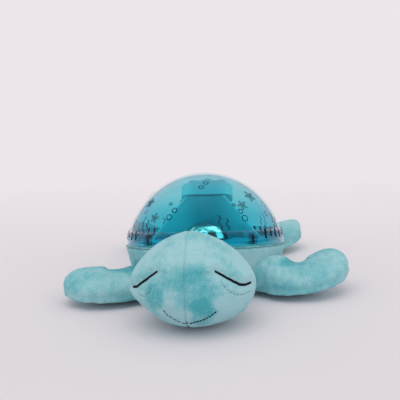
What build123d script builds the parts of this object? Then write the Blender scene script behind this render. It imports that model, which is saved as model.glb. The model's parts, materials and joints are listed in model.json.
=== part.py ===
from build123d import *

import math
import os

# Plush sleeping turtle with a lamp unit in its back. Millimetres, +Z up, the turtle faces -Y.
# The origin is the centre of the flat foot. The lamp unit leans back: its own frame has its
# origin at the middle of the rim plane and is called the unit frame below.

# ---- lamp unit as a whole ----
RIM_HEIGHT = 40.0
UNIT_LEAN = 11.0
FIT_GAP = 0.3
SCREW_GAP = 0.2
OVERCUT = 1.0
FAR = 400.0

# ---- clear shell ----
SHELL_RADIUS = 78.0
SHELL_SINK = 10.0
SHELL_WALL = 2.4
FLANGE_LIP = 1.8
FLANGE_THICKNESS = 2.4
BOSS_RADIUS = 4.2
BOSS_HEIGHT = 8.0
BOSS_INSET = 5.0
BOSS_END = 2.0
SHELL_BOSS_COUNT = 4
BOSS_TURN = 45.0
SCREW_RADIUS = 1.3
SCREW_HEAD_RADIUS = 2.7
SCREW_HEAD_HEIGHT = 1.8
SHELL_SCREW_END = 0.4

# ---- tub ----
FOOT_RADIUS = 58.0
TUB_WALL = 2.2
TUB_FLOOR = 2.5
TUB_FLANGE_SETBACK = 0.7
TUB_FLANGE_THICKNESS = 2.4
POST_RADIUS = 3.0
POST_SCREW_DEPTH = 6.0

# ---- deck and lens cap ----
DECK_GAP = 0.5
DECK_LEDGE = 4.5
DECK_CHAMFER = 0.6
DECK_RIB_SETBACK = 12.0
DECK_RIB_THICKNESS = 1.6
DECK_RIB_DEPTH = 3.0
DECK_BOSS_COUNT = 4
DECK_BOSS_INSET = 2.9
DECK_BOSS_RADIUS = 3.4
DECK_BOSS_DEPTH = 9.0
DECK_SCREW_LENGTH = 8.0
LENS_HOLE_GAP = 1.4
CAP_FLANGE_RADIUS = 28.0
CAP_FLANGE_THICKNESS = 1.6
CAP_RADIUS = 25.0
CAP_HEIGHT = 19.0
CAP_WALL = 1.5

# ---- turning lens and its drive ----
GEAR_MODULE = 1.0
WHEEL_TEETH = 48
PINION_TEETH = 12
PRESSURE_ANGLE = 25.0
TOOTH_THINNING = 0.14
GEAR_THICKNESS = 3.0
GEAR_TOP = -3.6
TOOTH_ADDENDUM = 0.9
TOOTH_DEDENDUM = 1.15
COLLAR_RADIUS = 16.0
COLLAR_WALL = 2.0
COLLAR_TOP = -1.5
COLLAR_STEP = 2.4
RUNNING_GAP = 0.05
THRUST_GAP = 0.1
CARRIER_TOP = 1.0
CARRIER_WALL = 1.5
LENS_SEAT_Z = -1.2
LENS_RECESS_DEPTH = 3.0
LENS_RECESS_WALL = 7.2
CLIP_POCKET_GAP = 0.4
CLIP_THICKNESS = 0.8
CLIP_PROUD = 1.5
CLIP_GROOVE_DEPTH = 0.8
CLIP_SETBACK = 0.4
CLIP_GAP_ANGLE = 50.0
LENS_SEAT_LEDGE = 1.2
LENS_HEIGHT = 13.0
LENS_FACETS = 12
GIRDLE_LEAN = 68.0
GIRDLE_REACH = 17.64
CROWN_LEAN = 47.0
CROWN_REACH = 17.05
STAR_LEAN = 25.0
STAR_REACH = 14.9
FRAME_PLATE_Z = -8.0
FRAME_PLATE_THICKNESS = 2.0
FRAME_POST_SETBACK = 9.0
FRAME_POST_RADIUS = 3.2
FRAME_POST_COUNT = 3
FRAME_PAD = 0.6
FRAME_HUB_PROUD = 5.0
FRAME_SCREW_BITE = 4.4
MOTOR_RADIUS = 8.0
MOTOR_HEAD_LENGTH = 5.0
MOTOR_CAN_STEP = 1.2
MOTOR_CAN_EDGE = 0.8
MOTOR_LENGTH = 15.0
MOTOR_SHAFT_RADIUS = 1.0
MOTOR_BUSH_WALL = 1.4
MOTOR_BUSH_PROUD = 0.6
MOTOR_SCREW_OFFSET = 6.0
MOTOR_SCREW_BITE = 2.5
SMALL_SCREW_RADIUS = 1.1
SMALL_HEAD_RADIUS = 2.0
SMALL_HEAD_HEIGHT = 0.9
LED_BOARD_PROUD = 1.5
LED_SCREW_INSET = 1.0
LED_SCREW_BITE = 1.6
BOARD_THICKNESS = 1.6
LED_RADIUS = 2.5
LED_HEIGHT = 6.5
LED_RIM = 0.4
LED_RIM_HEIGHT = 1.0
LED_CIRCLE = 6.0
LED_COUNT = 4

# ---- control tower and keys ----
HOOD_SETBACK = 7.5
HOOD_TOP_RADIUS = 22.0
HOOD_TOP_DROP = 14.0
HOOD_WALL = 2.2
HOOD_FRONT = 8.0
HOOD_LUG_RADIUS = 3.0
HOOD_LUG_HEIGHT = 6.0
HOOD_LUG_INSET = 2.6
HOOD_LUG_TURN = 40.0
KEY_LEAN = 28.0
KEY_PITCH = 15.0
KEY_RADIUS = 5.5
KEY_FLANGE_RADIUS = 6.6
KEY_FLANGE_THICKNESS = 1.2
KEY_PROUD = 2.2
KEY_TRAVEL = 1.2
KEY_EDGE = 1.2
KEY_SLACK = 0.1
KEY_HOLE_GAP = 0.35
KEY_HOLE_DEPTH = 12.0
KEY_STEM_RADIUS = 2.0
POD_LENGTH = 54.0
POD_WIDTH = 21.0
POD_WALL = 2.6
POD_CORNER = 7.35
POD_DEPTH = 20.0
KEY_BOARD_RISE = 4.0
TACT_SIZE = 6.0
TACT_HEIGHT = 3.5
TACT_PLUNGER_RADIUS = 1.75
TACT_PLUNGER_HEIGHT = 1.5

# ---- underside: batteries, speaker, main board ----
CELL_RADIUS = 5.25
CELL_LENGTH = 44.5
CELL_NUB_RADIUS = 1.9
CELL_NUB_LENGTH = 0.8
CELL_COUNT = 3
CELL_PITCH = 11.0
CONTACT_SPACE = 4.0
CONTACT_PLATE = 0.5
CONTACT_HEIGHT = 7.9
CONTACT_SETBACK = 1.5
SPRING_FOOT_RADIUS = 3.9
SPRING_TIP_RADIUS = 2.4
SPRING_WIRE = 0.7
CELL_EDGE = 0.5
CELL_ROW_SLACK = 1.6
BAY_FRONT = 10.0
BAY_WALL = 1.6
DOOR_THICKNESS = 1.6
DOOR_RECESS = 0.5
DOOR_GAP = 0.4
DOOR_SIDE_LIP = 3.0
DOOR_REAR_LIP = 2.6
DOOR_FRONT_LIP = 6.0
DOOR_LIP_THICKNESS = 1.6
DOOR_RIB_HEIGHT = 0.9
DOOR_RIB_WIDTH = 1.2
DOOR_RIB_SETBACK = 3.0
DOOR_SCREW_SETBACK = 3.0
DOOR_POST_HEIGHT = 7.0
DOOR_POST_END = 1.2
CELL_FLOAT = 1.4
SPEAKER_RADIUS = 18.0
SPEAKER_Y = -29.0
SPEAKER_RIM = 1.4
SPEAKER_RIM_WIDTH = 3.0
SPEAKER_BASKET_HEIGHT = 6.0
SPEAKER_BASKET_WALL = 1.5
SPEAKER_WINDOW_WIDTH = 6.0
SPEAKER_WINDOW_EDGE = 1.2
SPEAKER_WINDOWS = 6
SPEAKER_DEPTH = 11.0
SPEAKER_MAGNET_RADIUS = 9.0
SPEAKER_WELL_DEPTH = 1.0
SPEAKER_WELL_MARGIN = 1.0
SPEAKER_WALL_THICKNESS = 1.7
SPEAKER_WALL_HEIGHT = 3.0
CONE_CLEARANCE = 0.5
CONE_HEIGHT = 4.0
CONE_PAPER = 0.8
CONE_THROAT_RADIUS = 4.6
DUST_CAP_RADIUS = 5.2
DUST_CAP_WALL = 0.6
DUST_CAP_SINK = 0.8
GRILLE_SLOTS = 7
GRILLE_PITCH = 4.2
GRILLE_SLOT_WIDTH = 1.8
GRILLE_MARGIN = 3.0
MAIN_BOARD_Z = 19.0
MAIN_BOARD_LENGTH = 72.0
MAIN_BOARD_WIDTH = 30.0
MAIN_BOARD_Y = 28.0
BOARD_SCREW_INSET_X = 3.6
BOARD_SCREW_INSET_Y = 4.0
BOARD_SCREW_BITE = 3.9
BOARD_CORNER = 2.0
SOUND_CHIP = (10.0, 7.0, 1.5)
STORE_CHIP = (6.0, 5.0, 1.2)
PLUG_ROW = (16.0, 5.0, 4.2)
CAPACITOR_RADIUS = 2.5
CAPACITOR_HEIGHT = 5.0

# ---- plush ----
BODY_BOTTOM = 1.0
BODY_FOOT_PAD = 6.0
BODY_WAIST_HEIGHT = 15.0
BODY_WAIST_TUCK = 7.46
BODY_RIM_PROUD = 1.8
BODY_TOP = -0.4
PIPING_RADIUS = 1.3
PIPING_PROUD = 0.7
PIPING_SINK = 0.5
BINDING_WIDTH = 3.0
BINDING_HEIGHT = 2.6
SOFT_GAP = 0.8
SCREW_ROOM = 1.4
KNUCKLE_RADIUS = 12.0
KNUCKLE_LENGTH = 34.0
FLIPPER_BOTTOM = 0.5
FRONT_FLIPPER_LENGTH = 72.0
FRONT_FLIPPER_WIDTH = 47.0
FRONT_FLIPPER_SWEEP = 106.0
LEFT_ROOT_BEARING = -30.0
LEFT_ROOT_HEADING = -15.0
LEFT_TIP_LIFT = 12.0
RIGHT_ROOT_BEARING = 218.0
RIGHT_ROOT_HEADING = 220.0
RIGHT_TIP_LIFT = 3.0
REAR_FLIPPER_LENGTH = 72.0
REAR_FLIPPER_WIDTH = 42.0
REAR_FLIPPER_SWEEP = -12.0
REAR_ROOT_BEARING = 54.0
REAR_TIP_LIFT = 12.0
FLIPPER_STATIONS = 12
FLIPPER_CURL = 1.2
FLIPPER_ROOT_SHARE = 0.74
FLIPPER_WIDEST = 0.62
FLIPPER_TAPER_START = 0.55
FLIPPER_TAPER_RUN = 0.47
FLIPPER_TIP_THICKNESS = 0.3
FLIPPER_THICKNESS = 0.94
FLIPPER_TIP_SHARE = 0.05
HEAD_HALF_WIDTH = 52.0
HEAD_HALF_DEPTH = 42.0
HEAD_HALF_HEIGHT = 38.5
HEAD_X = 2.0
HEAD_REACH = 28.0
HEAD_NECK_RADIUS = 17.0
HEAD_NECK_LENGTH = 60.0
HEAD_NECK_HEIGHT = 32.0
HEAD_NECK_INSET = 2.0
HEAD_BOTTOM = 0.5
TAIL_LENGTH = 17.0
TAIL_WIDTH = 26.0
TAIL_HEIGHT = 11.0
TAIL_RISE = 1.0

UNIT = Location((0, 0, RIM_HEIGHT), (-UNIT_LEAN, 0, 0))
KEYS = Location((0, 0, -SHELL_SINK), (-KEY_LEAN, 0, 0))
INNER_RADIUS = SHELL_RADIUS - SHELL_WALL
SHELL_MOUTH = math.sqrt(INNER_RADIUS**2 - (SHELL_SINK - FLANGE_THICKNESS) ** 2)
FLANGE_RADIUS = math.sqrt(SHELL_RADIUS**2 - SHELL_SINK**2) + FLANGE_LIP
SHELL_BOSS_CIRCLE = SHELL_MOUTH - BOSS_INSET
TUB_FLANGE_RADIUS = FLANGE_RADIUS - TUB_FLANGE_SETBACK
TUB_TOP_RADIUS = SHELL_BOSS_CIRCLE - BOSS_RADIUS
DECK_RADIUS = TUB_TOP_RADIUS - DECK_GAP
DECK_BOSS_CIRCLE = DECK_RADIUS - DECK_BOSS_INSET
TUB_MOUTH_RADIUS = DECK_RADIUS - DECK_LEDGE
HOOD_FOOT_RADIUS = DECK_RADIUS - HOOD_SETBACK
POD_FLOOR_RADIUS = SHELL_RADIUS - POD_DEPTH
HOOD_HEIGHT = POD_FLOOR_RADIUS - HOOD_TOP_DROP
CLIP_RADIUS = COLLAR_RADIUS + CLIP_PROUD
CLIP_LOW = COLLAR_TOP - CLIP_THICKNESS - CLIP_SETBACK
CLIP_POCKET_RADIUS = CLIP_RADIUS + CLIP_POCKET_GAP
LENS_SEAT_RADIUS = CLIP_POCKET_RADIUS + LENS_SEAT_LEDGE
CARRIER_HUB_RADIUS = LENS_SEAT_RADIUS + CARRIER_WALL
LENS_HOLE_RADIUS = CARRIER_HUB_RADIUS + LENS_HOLE_GAP
FRAME_HUB_RADIUS = COLLAR_RADIUS + FRAME_HUB_PROUD
FRAME_POST_CIRCLE = GEAR_MODULE * WHEEL_TEETH / 2 + FRAME_POST_SETBACK
LED_BOARD_RADIUS = COLLAR_RADIUS + LED_BOARD_PROUD
LED_BOARD_SCREW_CIRCLE = COLLAR_RADIUS - LED_SCREW_INSET
BODY_FOOT_RADIUS = FOOT_RADIUS + BODY_FOOT_PAD
BODY_RIM_RADIUS = FLANGE_RADIUS + BODY_RIM_PROUD
BODY_WAIST_RADIUS = BODY_RIM_RADIUS - BODY_WAIST_TUCK
PIPING_CIRCLE = FLANGE_RADIUS + PIPING_PROUD
GEAR_BOTTOM = GEAR_TOP - GEAR_THICKNESS
FRAME_BOTTOM = FRAME_PLATE_Z - FRAME_PLATE_THICKNESS
CENTRE_DISTANCE = GEAR_MODULE * (WHEEL_TEETH + PINION_TEETH) / 2
KEY_PLACES = (-KEY_PITCH, 0.0, KEY_PITCH)
TUB_FLANGE_TOP = -FLANGE_THICKNESS
TUB_FLANGE_BOTTOM = TUB_FLANGE_TOP - TUB_FLANGE_THICKNESS
CELL_BAY_WIDTH = CELL_COUNT * CELL_PITCH + CELL_ROW_SLACK
CELL_BAY_LENGTH = CELL_LENGTH + CELL_NUB_LENGTH + CONTACT_SPACE
BAY_CENTRE_Y = BAY_FRONT + CELL_BAY_WIDTH / 2
DOOR_TOP = DOOR_RECESS + DOOR_THICKNESS
CELL_AXIS_Z = DOOR_TOP + CELL_FLOAT + CELL_RADIUS
BAY_TOP = CELL_AXIS_Z + CELL_RADIUS + FIT_GAP
DOOR_WIDTH = CELL_BAY_LENGTH + 2 * (DOOR_SIDE_LIP - DOOR_GAP)
DOOR_FRONT_Y = BAY_FRONT - DOOR_FRONT_LIP + DOOR_GAP
DOOR_HINGE_Y = BAY_FRONT + CELL_BAY_WIDTH + DOOR_REAR_LIP - DOOR_GAP - DOOR_THICKNESS / 2
DOOR_HINGE_Z = DOOR_RECESS + DOOR_THICKNESS / 2
DOOR_SCREW_Y = BAY_FRONT - DOOR_SCREW_SETBACK


# ---- helpers ----
def disc(radius, low, high, x=0.0, y=0.0):
    """A round solid about a vertical axis between two heights."""
    return Pos(x, y, (low + high) / 2) * Cylinder(radius, high - low)


def ring(outer, inner, low, high):
    """A washer about the Z axis."""
    return disc(outer, low, high) - disc(inner, low - OVERCUT, high + OVERCUT)


def block(length, width, low, high, x=0.0, y=0.0):
    """A box centred on x and y between two heights."""
    return Pos(x, y, (low + high) / 2) * Box(length, width, high - low)


def around(count, radius, start=0.0):
    """Points evenly spaced on a circle."""
    turns = [math.radians(start + 360 * step / count) for step in range(count)]
    return [(radius * math.cos(turn), radius * math.sin(turn)) for turn in turns]


def group(solids):
    """Several separate solids kept in one sub-part."""
    return Compound(children=list(solids))


def save(shape, name, place=None):
    """Writes one sub-part, moved to its place."""
    export_step(place * shape if place is not None else shape, f"parts/{name}.step")


def screw(shaft_radius, head_radius, head_height, length):
    """A pan-head screw whose head sits below Z = 0 and whose shaft rises from it."""
    head = fillet(disc(head_radius, -head_height, 0).edges().group_by(Axis.Z)[0], head_height * 0.45)
    slot = block(head_radius, head_height * 0.3, -head_height - OVERCUT, -head_height * 0.55)
    cross = block(head_height * 0.3, head_radius, -head_height - OVERCUT, -head_height * 0.55)
    return head + disc(shaft_radius, 0, length) - slot - cross


def small_screw(length):
    """A small screw driven from below."""
    return screw(SMALL_SCREW_RADIUS, SMALL_HEAD_RADIUS, SMALL_HEAD_HEIGHT, length)


def small_screw_down(length):
    """A small screw driven from above."""
    return Rot(180, 0, 0) * small_screw(length)


# ---- gears ----
def tooth_angle_at(radius, teeth):
    """Half the angle that a thinned involute tooth covers at a radius."""
    pitch_radius = GEAR_MODULE * teeth / 2
    pressure = math.radians(PRESSURE_ANGLE)
    base_radius = pitch_radius * math.cos(pressure)
    half_at_pitch = (math.pi * GEAR_MODULE / 2 - TOOTH_THINNING) / 2 / pitch_radius
    local = math.acos(min(1.0, base_radius / radius))
    return half_at_pitch + (math.tan(pressure) - pressure) - (math.tan(local) - local)


def gear(teeth, phase=0.0):
    """A spur gear with involute flanks, its first tooth at the angle phase in degrees."""
    pitch_radius = GEAR_MODULE * teeth / 2
    base_radius = pitch_radius * math.cos(math.radians(PRESSURE_ANGLE))
    tip = pitch_radius + TOOTH_ADDENDUM * GEAR_MODULE
    root = pitch_radius - TOOTH_DEDENDUM * GEAR_MODULE
    start = max(root, base_radius)
    flank = [start + (tip - start) * share for share in (0.0, 0.5, 1.0)]
    outline = []
    for tooth in range(teeth):
        middle = math.radians(phase + 360 * tooth / teeth)
        rising = [(root, -tooth_angle_at(start, teeth))]
        rising += [(radius, -tooth_angle_at(radius, teeth)) for radius in flank]
        if start == root:
            rising = rising[1:]
        falling = [(radius, -angle) for radius, angle in reversed(rising)]
        for radius, angle in rising + falling:
            outline.append((radius * math.cos(middle + angle), radius * math.sin(middle + angle)))
    face = make_face(Polyline(*outline, close=True))
    return Pos(0, 0, GEAR_BOTTOM) * extrude(face, GEAR_THICKNESS)


# ---- clear shell ----
def shell_ball(radius):
    """The sphere that the shell follows, in the unit frame."""
    return Pos(0, 0, -SHELL_SINK) * Sphere(radius)


def dome_shell():
    """Clear spherical cap with a foot flange, screw bosses and three key holes."""
    slab = block(FAR, FAR, -FLANGE_THICKNESS, SHELL_RADIUS)
    shell = (shell_ball(SHELL_RADIUS) - shell_ball(INNER_RADIUS)) & slab
    shell += ring(FLANGE_RADIUS, SHELL_MOUTH, -FLANGE_THICKNESS, 0)
    for x, y in around(SHELL_BOSS_COUNT, SHELL_BOSS_CIRCLE, BOSS_TURN):
        shell += disc(BOSS_RADIUS, -FLANGE_THICKNESS, BOSS_HEIGHT, x, y) & shell_ball(SHELL_RADIUS)
    for x, y in around(SHELL_BOSS_COUNT, SHELL_BOSS_CIRCLE, BOSS_TURN):
        shell -= disc(SCREW_RADIUS, -FLANGE_THICKNESS - OVERCUT, BOSS_HEIGHT - BOSS_END, x, y)
    for x in KEY_PLACES:
        shell -= KEYS * disc(KEY_RADIUS + KEY_HOLE_GAP, INNER_RADIUS - KEY_HOLE_DEPTH, FAR, x)
    return shell


def shell_screws():
    """Screws that hold the shell to the tub flange from below."""
    length = BOSS_HEIGHT - BOSS_END - TUB_FLANGE_BOTTOM
    one = screw(SCREW_RADIUS, SCREW_HEAD_RADIUS, SCREW_HEAD_HEIGHT, length - SHELL_SCREW_END)
    places = around(SHELL_BOSS_COUNT, SHELL_BOSS_CIRCLE, BOSS_TURN)
    return group(Pos(x, y, TUB_FLANGE_BOTTOM) * one for x, y in places)


# ---- keys and control tower ----
def key_surface(x, radius):
    """Height of a shell sphere over the key board, at a sideways distance."""
    return math.sqrt(radius**2 - x**2)


def key_flange_top(x):
    """Highest place at which a key's flange clears the shell inside."""
    return key_surface(abs(x) + KEY_FLANGE_RADIUS, INNER_RADIUS) - FIT_GAP


def key(x):
    """A push key with a domed face, a holding flange and a stem."""
    face = key_surface(x, SHELL_RADIUS) + KEY_PROUD
    flange = key_flange_top(x)
    cap = disc(KEY_RADIUS, flange, face, x)
    cap = fillet(cap.edges().group_by(Axis.Z)[-1], KEY_EDGE)
    rim = disc(KEY_FLANGE_RADIUS, flange - KEY_FLANGE_THICKNESS, flange, x)
    stem = disc(KEY_STEM_RADIUS, plunger_top() + KEY_TRAVEL + KEY_SLACK, flange, x)
    return cap + rim + stem


def key_board_top():
    """Upper face of the key board."""
    return POD_FLOOR_RADIUS + POD_WALL + KEY_BOARD_RISE


def plunger_top():
    """Top of a tact switch's plunger."""
    return key_board_top() + TACT_HEIGHT + TACT_PLUNGER_HEIGHT


def pod_outer():
    """Housing of the keys, closed above by the shell."""
    body = block(POD_LENGTH, POD_WIDTH, POD_FLOOR_RADIUS, SHELL_RADIUS)
    body = fillet(body.edges().filter_by(Axis.Z), POD_CORNER)
    return body & Sphere(INNER_RADIUS)


def pod_inside():
    """Room in the key housing."""
    length = POD_LENGTH - 2 * POD_WALL
    room = block(length, POD_WIDTH - 2 * POD_WALL, POD_FLOOR_RADIUS + POD_WALL, SHELL_RADIUS)
    return fillet(room.edges().filter_by(Axis.Z), POD_CORNER - POD_WALL)


def control_tower():
    """Half-cone hood behind the lens that carries the key housing."""
    cone = Pos(0, 0, HOOD_HEIGHT / 2) * Cone(HOOD_FOOT_RADIUS, HOOD_TOP_RADIUS, HOOD_HEIGHT)
    room = Pos(0, 0, HOOD_HEIGHT / 2) * Cone(
        HOOD_FOOT_RADIUS - HOOD_WALL, HOOD_TOP_RADIUS - HOOD_WALL, HOOD_HEIGHT
    )
    depth = HOOD_FOOT_RADIUS
    rear = block(2 * depth, depth, 0, HOOD_HEIGHT, 0, HOOD_FRONT + depth / 2)
    hood = (cone - room) & rear
    lug_circle = HOOD_FOOT_RADIUS - HOOD_WALL - HOOD_LUG_INSET
    for turn in (HOOD_LUG_TURN, 180 - HOOD_LUG_TURN):
        x, y = around(1, lug_circle, turn)[0]
        hood += disc(HOOD_LUG_RADIUS, 0, HOOD_LUG_HEIGHT, x, y)
    above_floor = KEYS * block(FAR, FAR, POD_FLOOR_RADIUS, FAR)
    hood = hood - above_floor + KEYS * pod_outer()
    rails = KEYS * group(
        block(POD_WALL, POD_WIDTH - 2 * POD_WALL, POD_FLOOR_RADIUS + POD_WALL, key_board_low(), x)
        for x in (-POD_LENGTH / 2 + 2 * POD_WALL, POD_LENGTH / 2 - 2 * POD_WALL)
    )
    return hood - KEYS * pod_inside() + rails


def key_board_low():
    """Lower face of the key board."""
    return key_board_top() - BOARD_THICKNESS


def keypad_board():
    """Small board under the keys."""
    length = POD_LENGTH - 2 * POD_WALL - 2 * FIT_GAP
    width = POD_WIDTH - 2 * POD_WALL - 2 * FIT_GAP
    board = block(length, width, key_board_low(), key_board_top())
    return fillet(board.edges().filter_by(Axis.Z), POD_CORNER - POD_WALL)


def tact_switches():
    """One switch under each key."""
    low = key_board_top()
    solids = []
    for x in KEY_PLACES:
        body = block(TACT_SIZE, TACT_SIZE, low, low + TACT_HEIGHT, x)
        solids.append(body + disc(TACT_PLUNGER_RADIUS, low + TACT_HEIGHT, plunger_top(), x))
    return group(solids)


# ---- deck, cap and lens ----
def deck_plate():
    """Round deck with a lens hole, bosses for the optics frame and a drip edge."""
    deck = disc(DECK_RADIUS, TUB_FLANGE_TOP, 0)
    deck = chamfer(deck.edges().group_by(Axis.Z)[-1], DECK_CHAMFER)
    rib = DECK_RADIUS - DECK_RIB_SETBACK
    deck += ring(rib, rib - DECK_RIB_THICKNESS, TUB_FLANGE_TOP - DECK_RIB_DEPTH, TUB_FLANGE_TOP)
    for x, y in around(FRAME_POST_COUNT, FRAME_POST_CIRCLE):
        post = disc(FRAME_POST_RADIUS, FRAME_PLATE_Z, TUB_FLANGE_TOP, x, y)
        deck += post
    for x, y in around(FRAME_POST_COUNT, FRAME_POST_CIRCLE):
        deck -= disc(SMALL_SCREW_RADIUS, FRAME_PLATE_Z - OVERCUT, TUB_FLANGE_TOP, x, y)
    for x, y in around(DECK_BOSS_COUNT, DECK_BOSS_CIRCLE):
        deck -= disc(SMALL_SCREW_RADIUS + SCREW_GAP, TUB_FLANGE_TOP - OVERCUT, OVERCUT, x, y)
    return deck - disc(LENS_HOLE_RADIUS, TUB_FLANGE_TOP - OVERCUT, OVERCUT)


def deck_screws():
    """Screws that hold the deck down to the tub."""
    one = small_screw_down(DECK_SCREW_LENGTH)
    return group(Pos(x, y, 0) * one for x, y in around(DECK_BOSS_COUNT, DECK_BOSS_CIRCLE))


def cap_ball(wall):
    """Sphere of the lens cap, thinner by a wall."""
    radius = (CAP_RADIUS**2 + CAP_HEIGHT**2) / (2 * CAP_HEIGHT)
    return Pos(0, 0, CAP_HEIGHT - radius) * Sphere(radius - wall)


def clear_cap():
    """Clear cover over the turning lens, screwed to the deck."""
    flange = disc(CAP_FLANGE_RADIUS, 0, CAP_FLANGE_THICKNESS)
    cap = (cap_ball(0) & block(FAR, FAR, 0, FAR)) + flange
    return cap - (cap_ball(CAP_WALL) & block(FAR, FAR, -OVERCUT, FAR))


def facet_cutters(lean, reach, count, shift):
    """Blocks that cut one tier of flat facets, leaned from level by an angle."""
    tool = Rot(0, lean, 0) * block(FAR, FAR, reach, FAR)
    return [Rot(0, 0, 360 * (step + shift) / count) * tool for step in range(count)]


def facet_lens():
    """Cut-crystal lens with three tiers of flat facets on a round spigot."""
    lens = disc(LENS_SEAT_RADIUS, LENS_SEAT_Z, LENS_HEIGHT)
    above_seat = disc(FAR, CARRIER_TOP, FAR)
    girdle = facet_cutters(GIRDLE_LEAN, GIRDLE_REACH, LENS_FACETS, 0.0)
    crown = facet_cutters(CROWN_LEAN, CROWN_REACH, LENS_FACETS, 0.5)
    star = facet_cutters(STAR_LEAN, STAR_REACH, LENS_FACETS // 2, 0.0)
    for cutter in girdle + crown + star:
        lens -= Pos(0, 0, CARRIER_TOP) * cutter & above_seat
    recess = LENS_SEAT_RADIUS - LENS_RECESS_WALL
    return lens - disc(recess, LENS_SEAT_Z - OVERCUT, LENS_SEAT_Z + LENS_RECESS_DEPTH)


def lens_carrier():
    """Toothed turntable that runs on the collar and holds the lens."""
    wheel = gear(WHEEL_TEETH)
    hub = disc(CARRIER_HUB_RADIUS, GEAR_BOTTOM, CARRIER_TOP)
    bore = disc(COLLAR_RADIUS + RUNNING_GAP, GEAR_BOTTOM - OVERCUT, CARRIER_TOP + OVERCUT)
    pocket = disc(CLIP_POCKET_RADIUS, CLIP_LOW - THRUST_GAP, CARRIER_TOP + OVERCUT)
    seat = disc(LENS_SEAT_RADIUS, LENS_SEAT_Z, CARRIER_TOP + OVERCUT)
    return wheel + hub - bore - pocket - seat


def retaining_clip():
    """Spring ring in the collar's groove above the turntable."""
    high = CLIP_LOW + CLIP_THICKNESS
    clip = ring(CLIP_RADIUS, COLLAR_RADIUS - CLIP_GROOVE_DEPTH, CLIP_LOW, high)
    opening = 2 * CLIP_RADIUS * math.tan(math.radians(CLIP_GAP_ANGLE / 2))
    return clip - block(2 * CLIP_RADIUS, opening, CLIP_LOW - OVERCUT, high + OVERCUT, CLIP_RADIUS)


def optics_frame():
    """Spider under the deck with the collar that the turntable runs on."""
    plate = disc(FRAME_HUB_RADIUS, FRAME_BOTTOM, FRAME_PLATE_Z)
    middle = FRAME_POST_CIRCLE / 2
    arm = block(FRAME_POST_CIRCLE, 2 * FRAME_POST_RADIUS, FRAME_BOTTOM, FRAME_PLATE_Z, middle)
    for x, y in around(FRAME_POST_COUNT, FRAME_POST_CIRCLE):
        plate += Rot(0, 0, math.degrees(math.atan2(y, x))) * arm
        plate += disc(FRAME_POST_RADIUS + FRAME_PAD, FRAME_BOTTOM, FRAME_PLATE_Z, x, y)
    plate += block(CENTRE_DISTANCE, 2 * MOTOR_RADIUS, FRAME_BOTTOM, FRAME_PLATE_Z, -CENTRE_DISTANCE / 2)
    plate += disc(MOTOR_RADIUS + FRAME_PAD, FRAME_BOTTOM, FRAME_PLATE_Z, -CENTRE_DISTANCE)
    plate += disc(COLLAR_RADIUS, FRAME_PLATE_Z, COLLAR_TOP)
    plate -= ring(FAR, COLLAR_RADIUS - CLIP_GROOVE_DEPTH, CLIP_LOW, CLIP_LOW + CLIP_THICKNESS)
    plate += disc(COLLAR_RADIUS + COLLAR_STEP, FRAME_PLATE_Z, GEAR_BOTTOM - THRUST_GAP)
    plate -= disc(COLLAR_RADIUS - COLLAR_WALL, FRAME_BOTTOM - OVERCUT, COLLAR_TOP + OVERCUT)
    clear_holes = [(x, y) for x, y in around(FRAME_POST_COUNT, FRAME_POST_CIRCLE)]
    clear_holes += [(-CENTRE_DISTANCE, offset) for offset in (-MOTOR_SCREW_OFFSET, MOTOR_SCREW_OFFSET)]
    for x, y in clear_holes:
        plate -= frame_hole(SMALL_SCREW_RADIUS + SCREW_GAP, x, y)
    for x, y in around(2, LED_BOARD_SCREW_CIRCLE, 90):
        plate -= frame_hole(SMALL_SCREW_RADIUS, x, y)
    return plate - frame_hole(MOTOR_SHAFT_RADIUS + MOTOR_BUSH_WALL + SCREW_GAP, -CENTRE_DISTANCE, 0)


def frame_hole(radius, x, y):
    """A hole through the plate of the optics frame."""
    return disc(radius, FRAME_BOTTOM - OVERCUT, FRAME_PLATE_Z + OVERCUT, x, y)


def frame_screws():
    """Screws from the optics frame into the deck."""
    one = small_screw(FRAME_PLATE_THICKNESS + FRAME_SCREW_BITE)
    return group(Pos(x, y, FRAME_BOTTOM) * one for x, y in around(FRAME_POST_COUNT, FRAME_POST_CIRCLE))


def gear_motor():
    """Can motor with its reduction head, under the frame."""
    head_low = FRAME_BOTTOM - MOTOR_HEAD_LENGTH
    head = disc(MOTOR_RADIUS, head_low, FRAME_BOTTOM, -CENTRE_DISTANCE)
    can = disc(MOTOR_RADIUS - MOTOR_CAN_STEP, FRAME_BOTTOM - MOTOR_LENGTH, head_low, -CENTRE_DISTANCE)
    can = fillet(can.edges().group_by(Axis.Z)[0], MOTOR_CAN_EDGE)
    bush_top = FRAME_PLATE_Z + MOTOR_BUSH_PROUD
    bush = disc(MOTOR_SHAFT_RADIUS + MOTOR_BUSH_WALL, FRAME_BOTTOM, bush_top, -CENTRE_DISTANCE)
    bore = disc(MOTOR_SHAFT_RADIUS + RUNNING_GAP, head_low - OVERCUT, bush_top + OVERCUT, -CENTRE_DISTANCE)
    motor = head + can + bush - bore
    for offset in (-MOTOR_SCREW_OFFSET, MOTOR_SCREW_OFFSET):
        low = FRAME_BOTTOM - MOTOR_SCREW_BITE - OVERCUT / 2
        motor -= disc(SMALL_SCREW_RADIUS, low, FRAME_BOTTOM + OVERCUT, -CENTRE_DISTANCE, offset)
    return motor


def motor_screws():
    """Two screws that hold the motor's head to the frame."""
    one = small_screw_down(FRAME_PLATE_THICKNESS + MOTOR_SCREW_BITE)
    offsets = (-MOTOR_SCREW_OFFSET, MOTOR_SCREW_OFFSET)
    return group(Pos(-CENTRE_DISTANCE, offset, FRAME_PLATE_Z) * one for offset in offsets)


def motor_shaft():
    """Output shaft of the motor's reduction head."""
    low = FRAME_BOTTOM - MOTOR_HEAD_LENGTH - OVERCUT + SCREW_GAP
    return disc(MOTOR_SHAFT_RADIUS, low, GEAR_TOP, -CENTRE_DISTANCE)


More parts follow.
